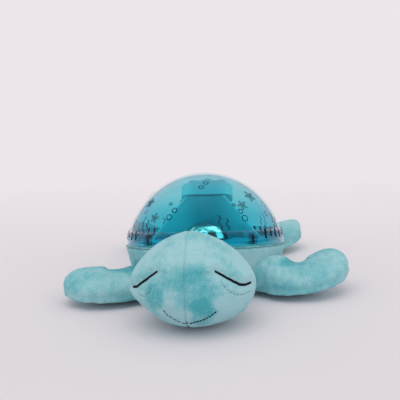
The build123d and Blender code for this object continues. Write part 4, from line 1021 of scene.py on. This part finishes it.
# ---- print on the shell ----
@dataclass
class ShellPrint:
    """Generic sea motifs and rim dashes printed on the outside of the clear shell."""

    lift: float = 0.2 * MM
    line: float = 0.85 * MM
    dash_length: float = 10.0 * MM
    dash_gap: float = 50.0
    dash_width: float = 2.8 * MM
    dash_height: float = 6.6 * MM
    dash_lift: float = 2.2 * MM
    dash_count: int = 56
    dash_lean: float = 9.0
    bubble_strings: tuple = ((-112, 26, 3), (-56, 24, 3), (25, 26, 3), (118, 24, 4), (165, 30, 3),
                             (-84, 52, 2), (60, 54, 2))
    starfish_places: tuple = ((-142, 38, 5.4), (-36, 42, 6.2), (8, 22, 4.8), (56, 34, 6.0), (98, 48, 5.0),
                              (146, 24, 5.6), (190, 46, 5.0))
    weed_bearings: tuple = (-132, -68, -14, 40, 86, 134, 206)
    blade_lengths: tuple = (14.0, 10.0)

    def build(self) -> None:
        """Lays every motif on the shell."""
        ink = Ink("shell_ink").make()
        pieces = {
            "print_rim_dashes": self._dashes(),
            "print_bubbles": self._bubbles(),
            "print_starfish": self._starfish(),
            "print_weed": self._weed(),
        }
        for name, bm in pieces.items():
            piece = new_object(name, bm, ink)
            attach(piece, "body")

    def _lay(self, target: bmesh.types.BMesh, flat: bmesh.types.BMesh, bearing: float, height: float,
             turn: float = 0.0, extra: float = 0.0) -> None:
        """Wraps a flat motif round the shell's ball and adds it to a bmesh.

        Args:
            target: the bmesh that takes the motif.
            flat: the motif in the plane of X across and Y up, which is freed.
            bearing: angle round the shell of its middle, in degrees from +X.
            height: angle above the rim plane of its middle, in degrees.
            turn: turn of the motif in its own plane, in degrees.
            extra: how far it stands off the ball beyond the ink's lift.
        """
        spin = Matrix.Rotation(math.radians(turn), 4, "Z")
        radius = SHELL_RADIUS + self.lift + extra
        facing = Matrix.Rotation(math.radians(bearing), 4, "Z")
        facing = facing @ Matrix.Rotation(-math.radians(height), 4, "Y")
        for vert in flat.verts:
            across, up, _ = spin @ vert.co
            out = Vector((1, 0, 0))
            bent = Matrix.Rotation(across / radius, 4, "Z") @ Matrix.Rotation(-up / radius, 4, "Y") @ out
            vert.co = UNIT @ (facing @ bent * radius + Vector((0, 0, -SHELL_SINK)))
        mesh = bpy.data.meshes.new("motif")
        flat.to_mesh(mesh)
        flat.free()
        target.from_mesh(mesh)
        bpy.data.meshes.remove(mesh)

    def _band(self, outline: Callable[[float], tuple[float, float]], steps: int,
              closed: bool) -> bmesh.types.BMesh:
        """A line of even width along a plane curve.

        Args:
            outline: gives x and y for a share of 0 to 1 along the line.
            steps: pieces of the line.
            closed: whether its end joins its start.

        Returns:
            The flat bmesh of the line.
        """
        bm = bmesh.new()
        last = steps if closed else steps + 1
        points = [Vector((*outline(step / steps), 0)) for step in range(last)]
        verts = [bm.verts.new(point) for point in points]
        pairs = zip(verts, verts[1:] + verts[:1] if closed else verts[1:])
        edges = [bm.edges.new(pair) for pair in pairs]
        moved = bmesh.ops.extrude_edge_only(bm, edges=edges)["geom"]
        outer = [part for part in moved if isinstance(part, bmesh.types.BMVert)]
        count = len(points)
        for index, vert in enumerate(verts):
            ahead = points[(index + 1) % count] if closed else points[min(index + 1, count - 1)]
            behind = points[index - 1] if closed or index else points[0]
            along = (ahead - behind).normalized()
            side = Vector((-along.y, along.x, 0)) * self.line / 2
            spare = [other for other in outer if not other.tag]
            twin = min(spare, key=lambda other: (other.co - points[index]).length)
            twin.tag = True
            vert.co = points[index] + side
            twin.co = points[index] - side
        return bm

    def _dashes(self) -> bmesh.types.BMesh:
        """Upright dashes that lean in turn, round the rim but for a gap in front."""
        target = bmesh.new()
        foot = math.degrees(math.asin((SHELL_SINK + self.dash_height) / SHELL_RADIUS))
        for step in range(self.dash_count):
            bearing = 360 * step / self.dash_count
            if abs(bearing - 270) < self.dash_gap:
                continue
            flat = bmesh.new()
            length = self.dash_length * (0.8 + 0.2 * math.sin(2.3 * step))
            bmesh.ops.create_circle(flat, cap_ends=True, segments=10, radius=self.dash_width / 2)
            for vert in flat.verts:
                vert.co.y += math.copysign(length / 2 - self.dash_width / 2, vert.co.y)
            self._lay(target, flat, bearing, foot, self.dash_lean * math.sin(1.7 * step), self.dash_lift)
        return target

    def _bubbles(self) -> bmesh.types.BMesh:
        """Rising strings of small rings."""
        target = bmesh.new()
        for index, (bearing, height, count) in enumerate(self.bubble_strings):
            for step in range(count):
                radius = (2.6 - 0.45 * step + 0.3 * math.sin(index + 2.1 * step)) * MM
                ring = self._band(self._circle(radius), 20, True)
                drift = 3.5 * math.sin(1.9 * step + index)
                self._lay(target, ring, bearing + drift, height + 5.2 * step)
        return target

    @staticmethod
    def _circle(radius: float) -> Callable[[float], tuple[float, float]]:
        """The outline of a circle."""
        return lambda share: (radius * math.cos(2 * math.pi * share), radius * math.sin(2 * math.pi * share))

    @staticmethod
    def _star(reach: float) -> Callable[[float], tuple[float, float]]:
        """The outline of a soft five-armed starfish."""
        def point(share: float) -> tuple[float, float]:
            turn = 2 * math.pi * share
            radius = reach * (0.62 + 0.38 * math.cos(5 * turn)) + reach * 0.06 * math.cos(10 * turn)
            return (radius * math.sin(turn), radius * math.cos(turn))
        return point

    def _starfish(self) -> bmesh.types.BMesh:
        """Five-armed starfish of several sizes, each with a small ring in its middle."""
        target = bmesh.new()
        for index, (bearing, height, reach) in enumerate(self.starfish_places):
            self._lay(target, self._band(self._star(reach * MM), 50, True), bearing, height, 17 * index)
            self._lay(target, self._band(self._circle(0.9 * MM), 12, True), bearing, height)
        return target

    def _weed(self) -> bmesh.types.BMesh:
        """Clumps of wavy weed that grow up from the rim."""
        target = bmesh.new()
        for index, bearing in enumerate(self.weed_bearings):
            for blade, length in enumerate(self.blade_lengths):
                wave = self._blade(length * MM, 1.3 + 0.3 * math.sin(index + blade))
                self._lay(target, self._band(wave, 18, False), bearing + 5.4 * (blade - 1), 17 + length / 3,
                          6 * math.sin(2 * index + blade))
        return target

    @staticmethod
    def _blade(length: float, waves: float) -> Callable[[float], tuple[float, float]]:
        """The line of one wavy blade."""
        return lambda share: (1.3 * MM * math.sin(2 * math.pi * waves * share), length * (share - 0.5))


# ---- plush pieces ----
@dataclass
class BodySleeve:
    """Padded sleeve round the tub, with gathers under the rim and a seam round the waist."""

    bottom: float = 1.0 * MM
    foot_radius: float = 64.0 * MM
    hole_radius: float = 61.5 * MM
    waist_radius: float = 74.5 * MM
    rim_radius: float = 79.7 * MM
    rim_height: float = 35.4 * MM
    lip_radius: float = 77.4 * MM
    lip_drop: float = 1.6 * MM
    seam_height: float = 17.0 * MM
    steps: int = 240
    gathers: int = 74
    gather_depth: float = 0.35 * MM
    gather_fade: float = 6.0 * MM
    seam_depth: float = 0.9 * MM
    seam_width: float = 1.2 * MM
    lean_start: float = 3.0 * MM
    lean_power: float = 1.3

    def build(self, plush: bpy.types.Material) -> None:
        """Spins, leans and gathers the sleeve.

        Args:
            plush: the finish of the pile.
        """
        low = self.bottom
        profile = [
            (self.hole_radius, low + 2.4 * MM), (self.hole_radius + 0.5 * MM, low + 0.4 * MM),
            (self.foot_radius, low), (self.foot_radius + 5.5 * MM, low + 3.6 * MM),
            (self.waist_radius - 1.0 * MM, low + 9.0 * MM), (self.waist_radius + 0.6 * MM, 17.0 * MM),
            (self.waist_radius + 2.6 * MM, 23.0 * MM), (self.rim_radius - 1.2 * MM, 29.0 * MM),
            (self.rim_radius, self.rim_height - 2.6 * MM),
            (self.rim_radius - 0.5 * MM, self.rim_height - 0.3 * MM),
            (self.lip_radius, self.rim_height - 0.5 * MM), (self.lip_radius, self.rim_height - self.lip_drop),
        ]
        bm = spun_ring(profile, self.steps, False, 3)
        for _ in range(2):
            bmesh.ops.smooth_vert(bm, verts=[v for v in bm.verts if not v.is_boundary], factor=0.5,
                                  use_axis_x=True, use_axis_y=True, use_axis_z=True)
        push_out(bm, self._relief)
        for vert in bm.verts:
            vert.co = self._leaned(vert.co)
        sleeve = new_object("body_sleeve", bm, plush)
        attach(sleeve, "body")
        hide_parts("plush_body")

    def _leaned(self, flat: Vector) -> Vector:
        """A point of the level sleeve, leaned with the rim in the share of its height."""
        share = (flat.z - self.lean_start) / (self.rim_height - self.lean_start)
        share = max(0.0, min(1.0, share)) ** self.lean_power
        level = Vector((flat.x, flat.y, flat.z - RIM_CENTRE.z))
        return flat.lerp(UNIT @ level, share)

    def _relief(self, place: Vector, normal: Vector) -> float:
        """Gathers, waist seam and stuffing lumps."""
        turn = math.atan2(place.y, place.x)
        under_rim = self.rim_height - place.z
        near_rim = math.exp(-max(0.0, under_rim) / self.gather_fade)
        gather = math.sin(self.gathers * turn + 3 * math.sin(5 * turn)) * self.gather_depth * near_rim
        off_seam = place.z - self.seam_height - 0.6 * MM * math.sin(3 * turn)
        seam = -self.seam_depth * hollow(off_seam, self.seam_width)
        if normal.z < -0.7 or place.xy.length < self.foot_radius + 2 * MM:
            return 0.0
        stuffing = 0.9 * MM * lumps(place, 24 * MM, 3.0) + 0.35 * MM * lumps(place, 9 * MM, 5.0)
        fade = min(1.0, max(0.0, under_rim) / (4 * MM))
        return (gather + seam + stuffing) * fade


@dataclass
class RimPiping:
    """Covered cord at the joint of sleeve and shell."""

    circle: float = 79.5 * MM
    radius: float = 0.8 * MM
    rise: float = -4.3 * MM
    ribs: int = 110
    rib_height: float = 0.08 * MM

    def build(self, tape: bpy.types.Material) -> None:
        """Spins the cord and leans it with the rim."""
        outline = [(self.circle + self.radius * math.cos(turn), self.rise + self.radius * math.sin(turn))
                   for turn in (2 * math.pi * step / 12 for step in range(12))]
        bm = spun_ring(outline, 240, True)
        push_out(bm, self._twist)
        bmesh.ops.transform(bm, matrix=UNIT, verts=bm.verts)
        piping = new_object("rim_cord", bm, tape)
        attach(piping, "body")
        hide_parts("rim_piping")

    def _twist(self, place: Vector, _: Vector) -> float:
        """Shallow ribs that wind round the cord."""
        turn = math.atan2(place.y, place.x)
        around = math.atan2(place.z - self.rise, place.xy.length - self.circle)
        return self.rib_height * math.sin(self.ribs * turn + around)


@dataclass
class BellyBinding:
    """Woven tape that binds the foot opening."""

    inner: float = 58.2 * MM
    outer: float = 61.2 * MM
    bottom: float = 1.0 * MM
    height: float = 2.6 * MM
    squareness: float = 0.6
    outline_steps: int = 20
    weave_count: int = 150
    weave_depth: float = 0.07 * MM

    def build(self, tape: bpy.types.Material) -> None:
        """Spins the rounded tape and ribs its face."""
        middle = (self.inner + self.outer) / 2
        half = (self.outer - self.inner) / 2
        centre = self.bottom + self.height / 2
        outline = []
        for step in range(self.outline_steps):
            turn = 2 * math.pi * step / self.outline_steps
            across = math.copysign(abs(math.cos(turn)) ** self.squareness, math.cos(turn))
            up = math.copysign(abs(math.sin(turn)) ** self.squareness, math.sin(turn))
            outline.append((middle + half * across, centre + self.height / 2 * up))
        bm = spun_ring(outline, 200, True)
        push_out(bm, self._weave)
        binding = new_object("foot_binding", bm, tape)
        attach(binding, "body")
        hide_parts("belly_binding")

    def _weave(self, place: Vector, _: Vector) -> float:
        """Fine ribs across the tape."""
        return self.weave_depth * math.sin(self.weave_count * math.atan2(place.y, place.x))


@dataclass
class Head:
    """Stuffed head with a centre seam, closed stitched eyes and a thin smile."""

    view: Viewpoint
    half_width: float = 52.2 * MM
    rise: float = 42.6 * MM
    drop: float = 34.0 * MM
    front: float = 42.0 * MM
    back: float = 40.0 * MM
    middle_height: float = 35.0 * MM
    aside: float = -1.3 * MM
    crown_power: float = 1.62
    chin_power: float = 2.25
    chin_tuck: float = 0.72
    nose_drop: float = 3.5 * MM
    neck_share: float = 0.58
    neck_close: float = 0.22
    neck_length: float = 20.0 * MM
    cuts: int = 71
    left_eye: tuple = ((133.4, 286.8), (137.4, 286.4), (147, 279.0), (157.6, 271.2))
    right_eye: tuple = ((214.8, 271.2), (226, 277.4), (233, 281.2), (240, 284.6), (245.4, 284.6),
                        (250.6, 282.4))
    left_crease: tuple = ((139.5, 294.6), (144, 296.4), (149.0, 293.4), (151.6, 286.0))
    right_crease: tuple = ((223.0, 285.4), (229, 291.6), (236, 294.8), (243, 294.6), (250.0, 291.0))
    brow_crease: tuple = ((191.5, 250.4), (198, 250.8), (204.0, 249.6))
    smile_left: tuple = ((163.0, 309.6), (168, 315.4), (176, 320.0), (186.5, 322.4))
    smile_right: tuple = ((186.5, 322.4), (196, 321.8), (204, 319.4), (212, 314.8), (217.4, 310.4))
    satin_half_width: float = 1.3 * MM
    satin_pitch: float = 0.42 * MM
    thread_radius: float = 0.3 * MM
    seam_offset: float = -1.4 * MM
    centre: Vector = field(init=False)

    def build(self, plush: bpy.types.Material, thread: bpy.types.Material,
              fine: bpy.types.Material) -> None:
        """Shapes the head, then stitches the face.

        Args:
            plush: the finish of the pile.
            thread: the dark thread of the eyes and smile.
            fine: the thin thread of the creases.
        """
        low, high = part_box("head")
        self.centre = Vector(((low.x + high.x) / 2 + self.aside, low.y + self.front, self.middle_height))
        bm = ball_grid(self.cuts)
        for vert in bm.verts:
            vert.co = self._shape(vert.co)
        push_out(bm, self._relief)
        tree = BVHTree.FromBMesh(bm)
        eyes = [self._drawn(line, tree) for line in (self.left_eye, self.right_eye)]
        folds = (self.left_crease, self.right_crease, self.brow_crease)
        creases = [self._drawn(line, tree) for line in folds]
        push_out(bm, lambda place, normal: self._face_relief(place, eyes, creases))
        tree = BVHTree.FromBMesh(bm)
        stuffed = new_object("stuffed_head", bm, plush)
        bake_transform(stuffed)
        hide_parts("head")
        eye_lines = [self._drawn(line, tree) for line in (self.left_eye, self.right_eye)]
        self._satin("stitched_eyes", eye_lines, tree, thread)
        for name, lines, finish, length, gap, radius in (
            ("smile_right", (self.smile_right,), thread, 2.4 * MM, 0.3 * MM, 0.56 * MM),
            ("smile_left", (self.smile_left,), thread, 3.4 * MM, 0.2 * MM, 0.34 * MM),
            ("lash_creases", (self.left_crease, self.right_crease), fine, 2.6 * MM, 0.8 * MM, 0.2 * MM),
        ):
            drawn = [self._drawn(line, tree) for line in lines]
            self._running(name, drawn, tree, finish, length, gap, radius)

    def _shape(self, ball: Vector) -> Vector:
        """A point of the unit ball moved onto the head."""
        reach = math.hypot(ball.x, ball.z)
        turn = math.atan2(ball.z, ball.x)
        power, tall = self.crown_power, self.rise
        if ball.z <= 0:
            power = self.chin_power - self.chin_tuck * max(0.0, -math.cos(turn))
            tall = self.drop
        wide = abs(math.cos(turn) / self.half_width) ** power
        edge = (wide + abs(math.sin(turn) / tall) ** power) ** (-1 / power)
        forward = max(0.0, -ball.y)
        depth = self.front if ball.y < 0 else self.back
        y = ball.y * depth
        if ball.y > 0 and reach < self.neck_share:
            y = depth * math.sqrt(1 - self.neck_share ** 2)
            y += self.neck_length * min(1.0, (self.neck_share - reach) / (self.neck_share - self.neck_close))
            reach = (self.neck_share - 0.04 * (self.neck_share - reach)) * min(1.0, reach / self.neck_close)
        x = reach * edge * math.cos(turn)
        z = reach * edge * math.sin(turn) - self.nose_drop * forward ** 2
        return self.centre + Vector((x, y, z))

    def _relief(self, place: Vector, _: Vector) -> float:
        """Centre seam and stuffing lumps."""
        beside = place.x - self.centre.x - self.seam_offset
        seam = -1.15 * MM * hollow(beside, 0.75 * MM) + 0.3 * MM * hollow(abs(beside) - 3.2 * MM, 2.2 * MM)
        front = 1.0 if place.y < self.centre.y + 20 * MM else 0.0
        stuffing = 0.8 * MM * lumps(place, 26 * MM, 1.0) + 0.3 * MM * lumps(place, 9 * MM, 2.0)
        under = max(0.0, min(1.0, place.z / (6 * MM)))
        return seam * front + stuffing * under

    def _drawn(self, line: tuple, tree: BVHTree) -> list[Vector]:
        """Points of the view's picture, laid on the head."""
        hits = [tree.ray_cast(self.view.place, self.view.ray(*point))[0] for point in line]
        return [hit for hit in hits if hit is not None]

    def _face_relief(self, place: Vector, eyes: list[list[Vector]], creases: list[list[Vector]]) -> float:
        """Closed lids above the eye lines, and shallow creases."""
        if place.y > self.centre.y:
            return 0.0
        move = 0.0
        for line in eyes:
            away = to_line(place, line)
            if away < 16 * MM:
                above = place - min(line, key=lambda point: (place - point).length)
                lid = hollow(away - 6.5 * MM, 4.5 * MM) * (1.5 if above.z > 0 else 0.5)
                move += lid * 1.2 * MM - 0.9 * MM * hollow(away, 2.0 * MM)
        for line in creases:
            away = to_line(place, line)
            if away < 8 * MM:
                move += -0.6 * MM * hollow(away, 1.0 * MM) + 0.2 * MM * hollow(away - 2.4 * MM, 1.5 * MM)
        return move

    def _satin(self, name: str, lines: list[list[Vector]], tree: BVHTree, thread: bpy.types.Material) -> None:
        """Dense cross stitches that swell in the middle of each line."""
        bm = bmesh.new()
        for line in lines:
            points = spaced(line, self.satin_pitch)
            for index, (point, along) in enumerate(points):
                share = index / max(1, len(points) - 1)
                half = self.satin_half_width * (0.6 + 0.4 * math.sin(math.pi * min(1.0, 0.12 + 0.8 * share)))
                foot, normal, _, _ = tree.find_nearest(point)
                across = normal.cross(along).normalized()
                middle = foot + normal * self.thread_radius * 0.9
                add_stitch(bm, middle, across, normal, 2 * half, self.thread_radius)
        stitches = new_object(name, bm, thread)
        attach(stitches, "head")

    def _running(self, name: str, lines: list[list[Vector]], tree: BVHTree, thread: bpy.types.Material,
                 length: float, gap: float, radius: float) -> None:
        """Single stitches in a row along each line."""
        bm = bmesh.new()
        for line in lines:
            for point, along in spaced(line, length + gap):
                foot, normal, _, _ = tree.find_nearest(point)
                add_stitch(bm, foot + normal * radius * 0.35, along, normal, length, radius)
        stitches = new_object(name, bm, thread)
        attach(stitches, "head")


def spaced(line: list[Vector], pitch: float) -> list[tuple[Vector, Vector]]:
    """Points at even steps along a broken line, each with its direction.

    Args:
        line: the corners of the line.
        pitch: the step between points.

    Returns:
        Point and unit direction of each step.
    """
    found = []
    rest = pitch / 2
    for start, end in zip(line, line[1:]):
        along = end - start
        while rest < along.length:
            found.append((start + along.normalized() * rest, along.normalized()))
            rest += pitch
        rest -= along.length
    return found


def add_stitch(target: bmesh.types.BMesh, middle: Vector, along: Vector, normal: Vector, length: float,
               radius: float) -> None:
    """Adds one rounded stitch of thread.

    Args:
        target: the bmesh that takes the stitch.
        middle: its middle.
        along: its direction.
        normal: the surface's normal.
        length: its whole length.
        radius: the thread's radius.
    """
    side = normal.cross(along).normalized()
    lift = along.cross(side).normalized()
    turn = Matrix((along, side, lift)).transposed().to_4x4()
    made = bmesh.ops.create_uvsphere(target, u_segments=8, v_segments=6, radius=1.0)["verts"]
    bmesh.ops.rotate(target, verts=made, cent=(0, 0, 0), matrix=Matrix.Rotation(math.pi / 2, 3, "Y"))
    bmesh.ops.scale(target, verts=made, vec=(length / 2, radius, radius))
    bmesh.ops.transform(target, matrix=Matrix.Translation(middle) @ turn, verts=made)


class Side(Enum):
    """The turtle's own left and right."""

    LEFT = 1
    RIGHT = -1


@dataclass
class Flipper:
    """A stuffed flipper with a seam along its edge, on a root that is sewn to the body."""

    name: str
    heading: float
    length: float
    width: float
    sweep: float
    lift: float
    seed: float
    knuckle: float = 12.0 * MM
    crown: float = 1.16
    shoulder: float = 0.0
    root_shift: float = 0.0
    inset: float = 18.0 * MM
    curl: float = 1.2
    root_share: float = 0.74
    widest: float = 0.62
    taper_start: float = 0.55
    tip_thickness: float = 0.36
    seam_share: float = -0.36
    rings: int = 110
    ring_points: int = 120
    steps: int = 60
    fullness: float = 2.25
    belly_share: float = 0.94
    root_reach: float = 0.34
    shoulder_reach: float = 0.14
    tip_fade: float = 0.14
    seam_depth: float = 2.0 * MM
    seam_width: float = 1.5 * MM
    under_seam: float = 0.6 * MM
    pucker_depth: float = 0.28 * MM
    pucker_pitch: float = 1.5 * MM
    hinge: Vector = field(init=False)
    line: list[tuple[Vector, Vector]] = field(init=False)

    def build(self, plush: bpy.types.Material) -> None:
        """Shapes the flipper from a ball and sews it to the body.

        Args:
            plush: the finish of the pile.
        """
        self.hinge = joint_place(f"{self.name}_lift")
        self.line = self._centre_line()
        bm = bmesh.new()
        bmesh.ops.create_uvsphere(bm, u_segments=self.ring_points, v_segments=self.rings, radius=1.0)
        for vert in bm.verts:
            vert.co = self._shape(vert.co)
        push_out(bm, self._relief)
        piece = new_object(f"{self.name}_stuffed_flipper", bm, plush)
        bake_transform(piece)
        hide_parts(f"{self.name}_flipper")

    def _centre_line(self) -> list[tuple[Vector, Vector]]:
        """Place and direction at even steps from the hinge to the tip."""
        place = self.hinge.copy()
        found = []
        for step in range(self.steps + 1):
            share = step / self.steps
            turn = self.heading + self.sweep * share ** self.curl
            forward = Vector((math.cos(turn), math.sin(turn), 0))
            found.append((place + Vector((0, 0, self.lift * share ** 2)), forward))
            place = place + forward * self.length / self.steps
        return found

    def _at(self, share: float) -> tuple[Vector, Vector]:
        """Centre and direction at a share of the length, below 0 inside the body."""
        if share < 0:
            place, forward = self.line[0]
            return place + forward * share * self.length, forward
        step = min(share, 1.0) * (len(self.line) - 1)
        index = min(int(step), len(self.line) - 2)
        (first, heading), (second, _) = self.line[index], self.line[index + 1]
        return first.lerp(second, step - index), heading

    def _half_width(self, share: float) -> float:
        """Half the flipper's width at a share of its length."""
        grown = math.sin(math.pi * min(1.0, max(0.0, share) / self.widest) / 2)
        swell = self.root_share + (1 - self.root_share) * grown
        past = max(0.0, share - self.taper_start) / (1.001 - self.taper_start)
        return self.width / 2 * swell * math.sqrt(max(0.0, 1 - past ** 2))

    def _shape(self, ball: Vector) -> Vector:
        """A point of the unit ball moved onto the flipper."""
        start = -self.inset / self.length
        share = start + (1 - start) * (1 - ball.z) / 2
        ring = math.hypot(ball.x, ball.y)
        place, forward = self._at(share)
        side = Vector((-forward.y, forward.x, 0))
        place = place + side * self.root_shift * hollow(max(0.0, share), self.root_reach)
        if ring < 1e-6:
            return place
        turn = math.atan2(ball.y, ball.x)
        across, up = math.cos(turn), math.sin(turn)
        bulge = (abs(across) ** self.fullness + abs(up) ** self.fullness) ** (-1 / self.fullness)
        half = self._half_width(share)
        root = min(1.0, ring * 2.2) if share < 0 else 1.0
        full = half / (self.width / 2)
        stuffed = self.tip_thickness + (1 - self.tip_thickness) * min(1.0, full * 1.05)
        thick = self.knuckle * stuffed * min(1.0, full * 2.2)
        upper = self.belly_share
        if up > 0:
            upper = self.crown + self.shoulder * hollow(max(0.0, share), self.shoulder_reach)
        return place + side * half * across * bulge * root + Vector((0, 0, thick * up * bulge * root * upper))

    def _relief(self, place: Vector, normal: Vector) -> float:
        """Edge seam with its small puckers, and stuffing lumps."""
        step = min(range(len(self.line)), key=lambda index: (self.line[index][0].xy - place.xy).length)
        share = step / self.steps
        centre, forward = self.line[step]
        offset = place - centre
        beside = abs(offset.dot(Vector((-forward.y, forward.x, 0))))
        above = offset.z - self.seam_share * self.knuckle
        at_edge = min(1.0, max(0.0, beside / max(1e-4, self._half_width(share)) - 0.45) / 0.4)
        at_edge *= min(1.0, (1.0 - share) / self.tip_fade)
        seam = -self.seam_depth * hollow(above, self.seam_width) * at_edge
        if above < 0:
            seam -= self.under_seam * at_edge
        wander = 4 * lumps(place, 12 * MM, self.seed)
        pucker = self.pucker_depth * math.sin(share * self.length / self.pucker_pitch + wander)
        pucker *= hollow(above, 4 * MM) * at_edge
        stuffing = 0.9 * MM * lumps(place, 22 * MM, self.seed)
        stuffing += 0.4 * MM * lumps(place, 8 * MM, self.seed + 3)
        inside = 1.0 if step > 2 else 0.3
        return (seam + pucker) * inside + stuffing * (0.4 if normal.z < -0.8 else 1.0)


@dataclass
class Tail:
    """Short stuffed tail at the back of the body."""

    half_width: float = 13.0 * MM
    reach: float = 17.0 * MM
    half_height: float = 5.5 * MM

    def build(self, plush: bpy.types.Material) -> None:
        """Shapes the tail from a ball."""
        low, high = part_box("tail")
        centre = Vector(((low.x + high.x) / 2, high.y - self.reach, low.z + self.half_height))
        bm = ball_grid(20)
        for vert in bm.verts:
            narrow = 1 - 0.35 * max(0.0, vert.co.y)
            vert.co = centre + Vector((vert.co.x * self.half_width * narrow, vert.co.y * self.reach,
                                       vert.co.z * self.half_height))
        push_out(bm, lambda place, _: 0.3 * MM * lumps(place, 9 * MM, 8.0)
                 - 0.5 * MM * hollow(place.z - centre.z, 0.8 * MM))
        tail = new_object("stuffed_tail", bm, plush)
        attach(tail, "body")
        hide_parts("tail")


def flippers() -> list[Flipper]:
    """The four flippers, with the headings that they leave the body at."""
    made = [
        Flipper("front_left", math.radians(-31), 62 * MM, 56 * MM, math.radians(124), 18 * MM, 11.0,
                shoulder=0.8, root_shift=-8 * MM, root_share=0.86, curl=1.45, widest=0.42, taper_start=0.34),
        Flipper("front_right", math.radians(228), 56 * MM, 61 * MM, math.radians(-118), 7 * MM, 23.0,
                root_shift=6 * MM, root_share=0.93, curl=1.45),
    ]
    for side in Side:
        heading = math.radians(90 - side.value * 36)
        name = f"rear_{side.name.lower()}"
        sweep = math.radians(-12 * side.value)
        made.append(Flipper(name, heading, 72 * MM, 42 * MM, sweep, 12 * MM, 31.0 + side.value, crown=1.06))
    return made


def main() -> None:
    """Builds the scene piece by piece."""
    logging.basicConfig(level=logging.INFO, format="%(message)s")
    view = Viewpoint()
    view.build()
    Studio().build()
    rigid = Hardware().build()
    ShellFoot().build(rigid[Part.CLEAR_SHELL.value])
    CellSprings().build()
    ShellPrint().build()
    # Painted shade round the front flipper roots, where they meet the body, on the body and flipper pile.
    root_shade_spots = tuple((*joint_place(f"{name}_lift") * 1.06, 21 * MM) for name in ("front_left", "front_right"))
    plush = Plush("plush_body", paler=0.02, dark_spots=root_shade_spots).make()
    blade = Plush("plush_flipper", shift=0.3, paler=-0.045, dark_spots=root_shade_spots).make()
    tape = Tape("tape").make()
    BodySleeve().build(plush)
    RimPiping().build(tape)
    BellyBinding().build(tape)
    Tail().build(plush)
    for flipper in flippers():
        flipper.build(blade)
    thread = Thread("dark_thread").make()
    fine = Thread("fine_thread", paint(46, 104, 116)).make()
    # Darker pile round the muzzle and the left cheek of the face.
    face_dark_spots = ((5 * MM, -165 * MM, 42 * MM, 20 * MM), (12 * MM, -162 * MM, 22 * MM, 12 * MM),
              (-24 * MM, -160 * MM, 34 * MM, 9 * MM))
    Head(view).build(Plush("plush_face", shift=0.8, paler=0.03, dark_spots=face_dark_spots).make(), thread, fine)


if __name__ == "__main__":
    main()
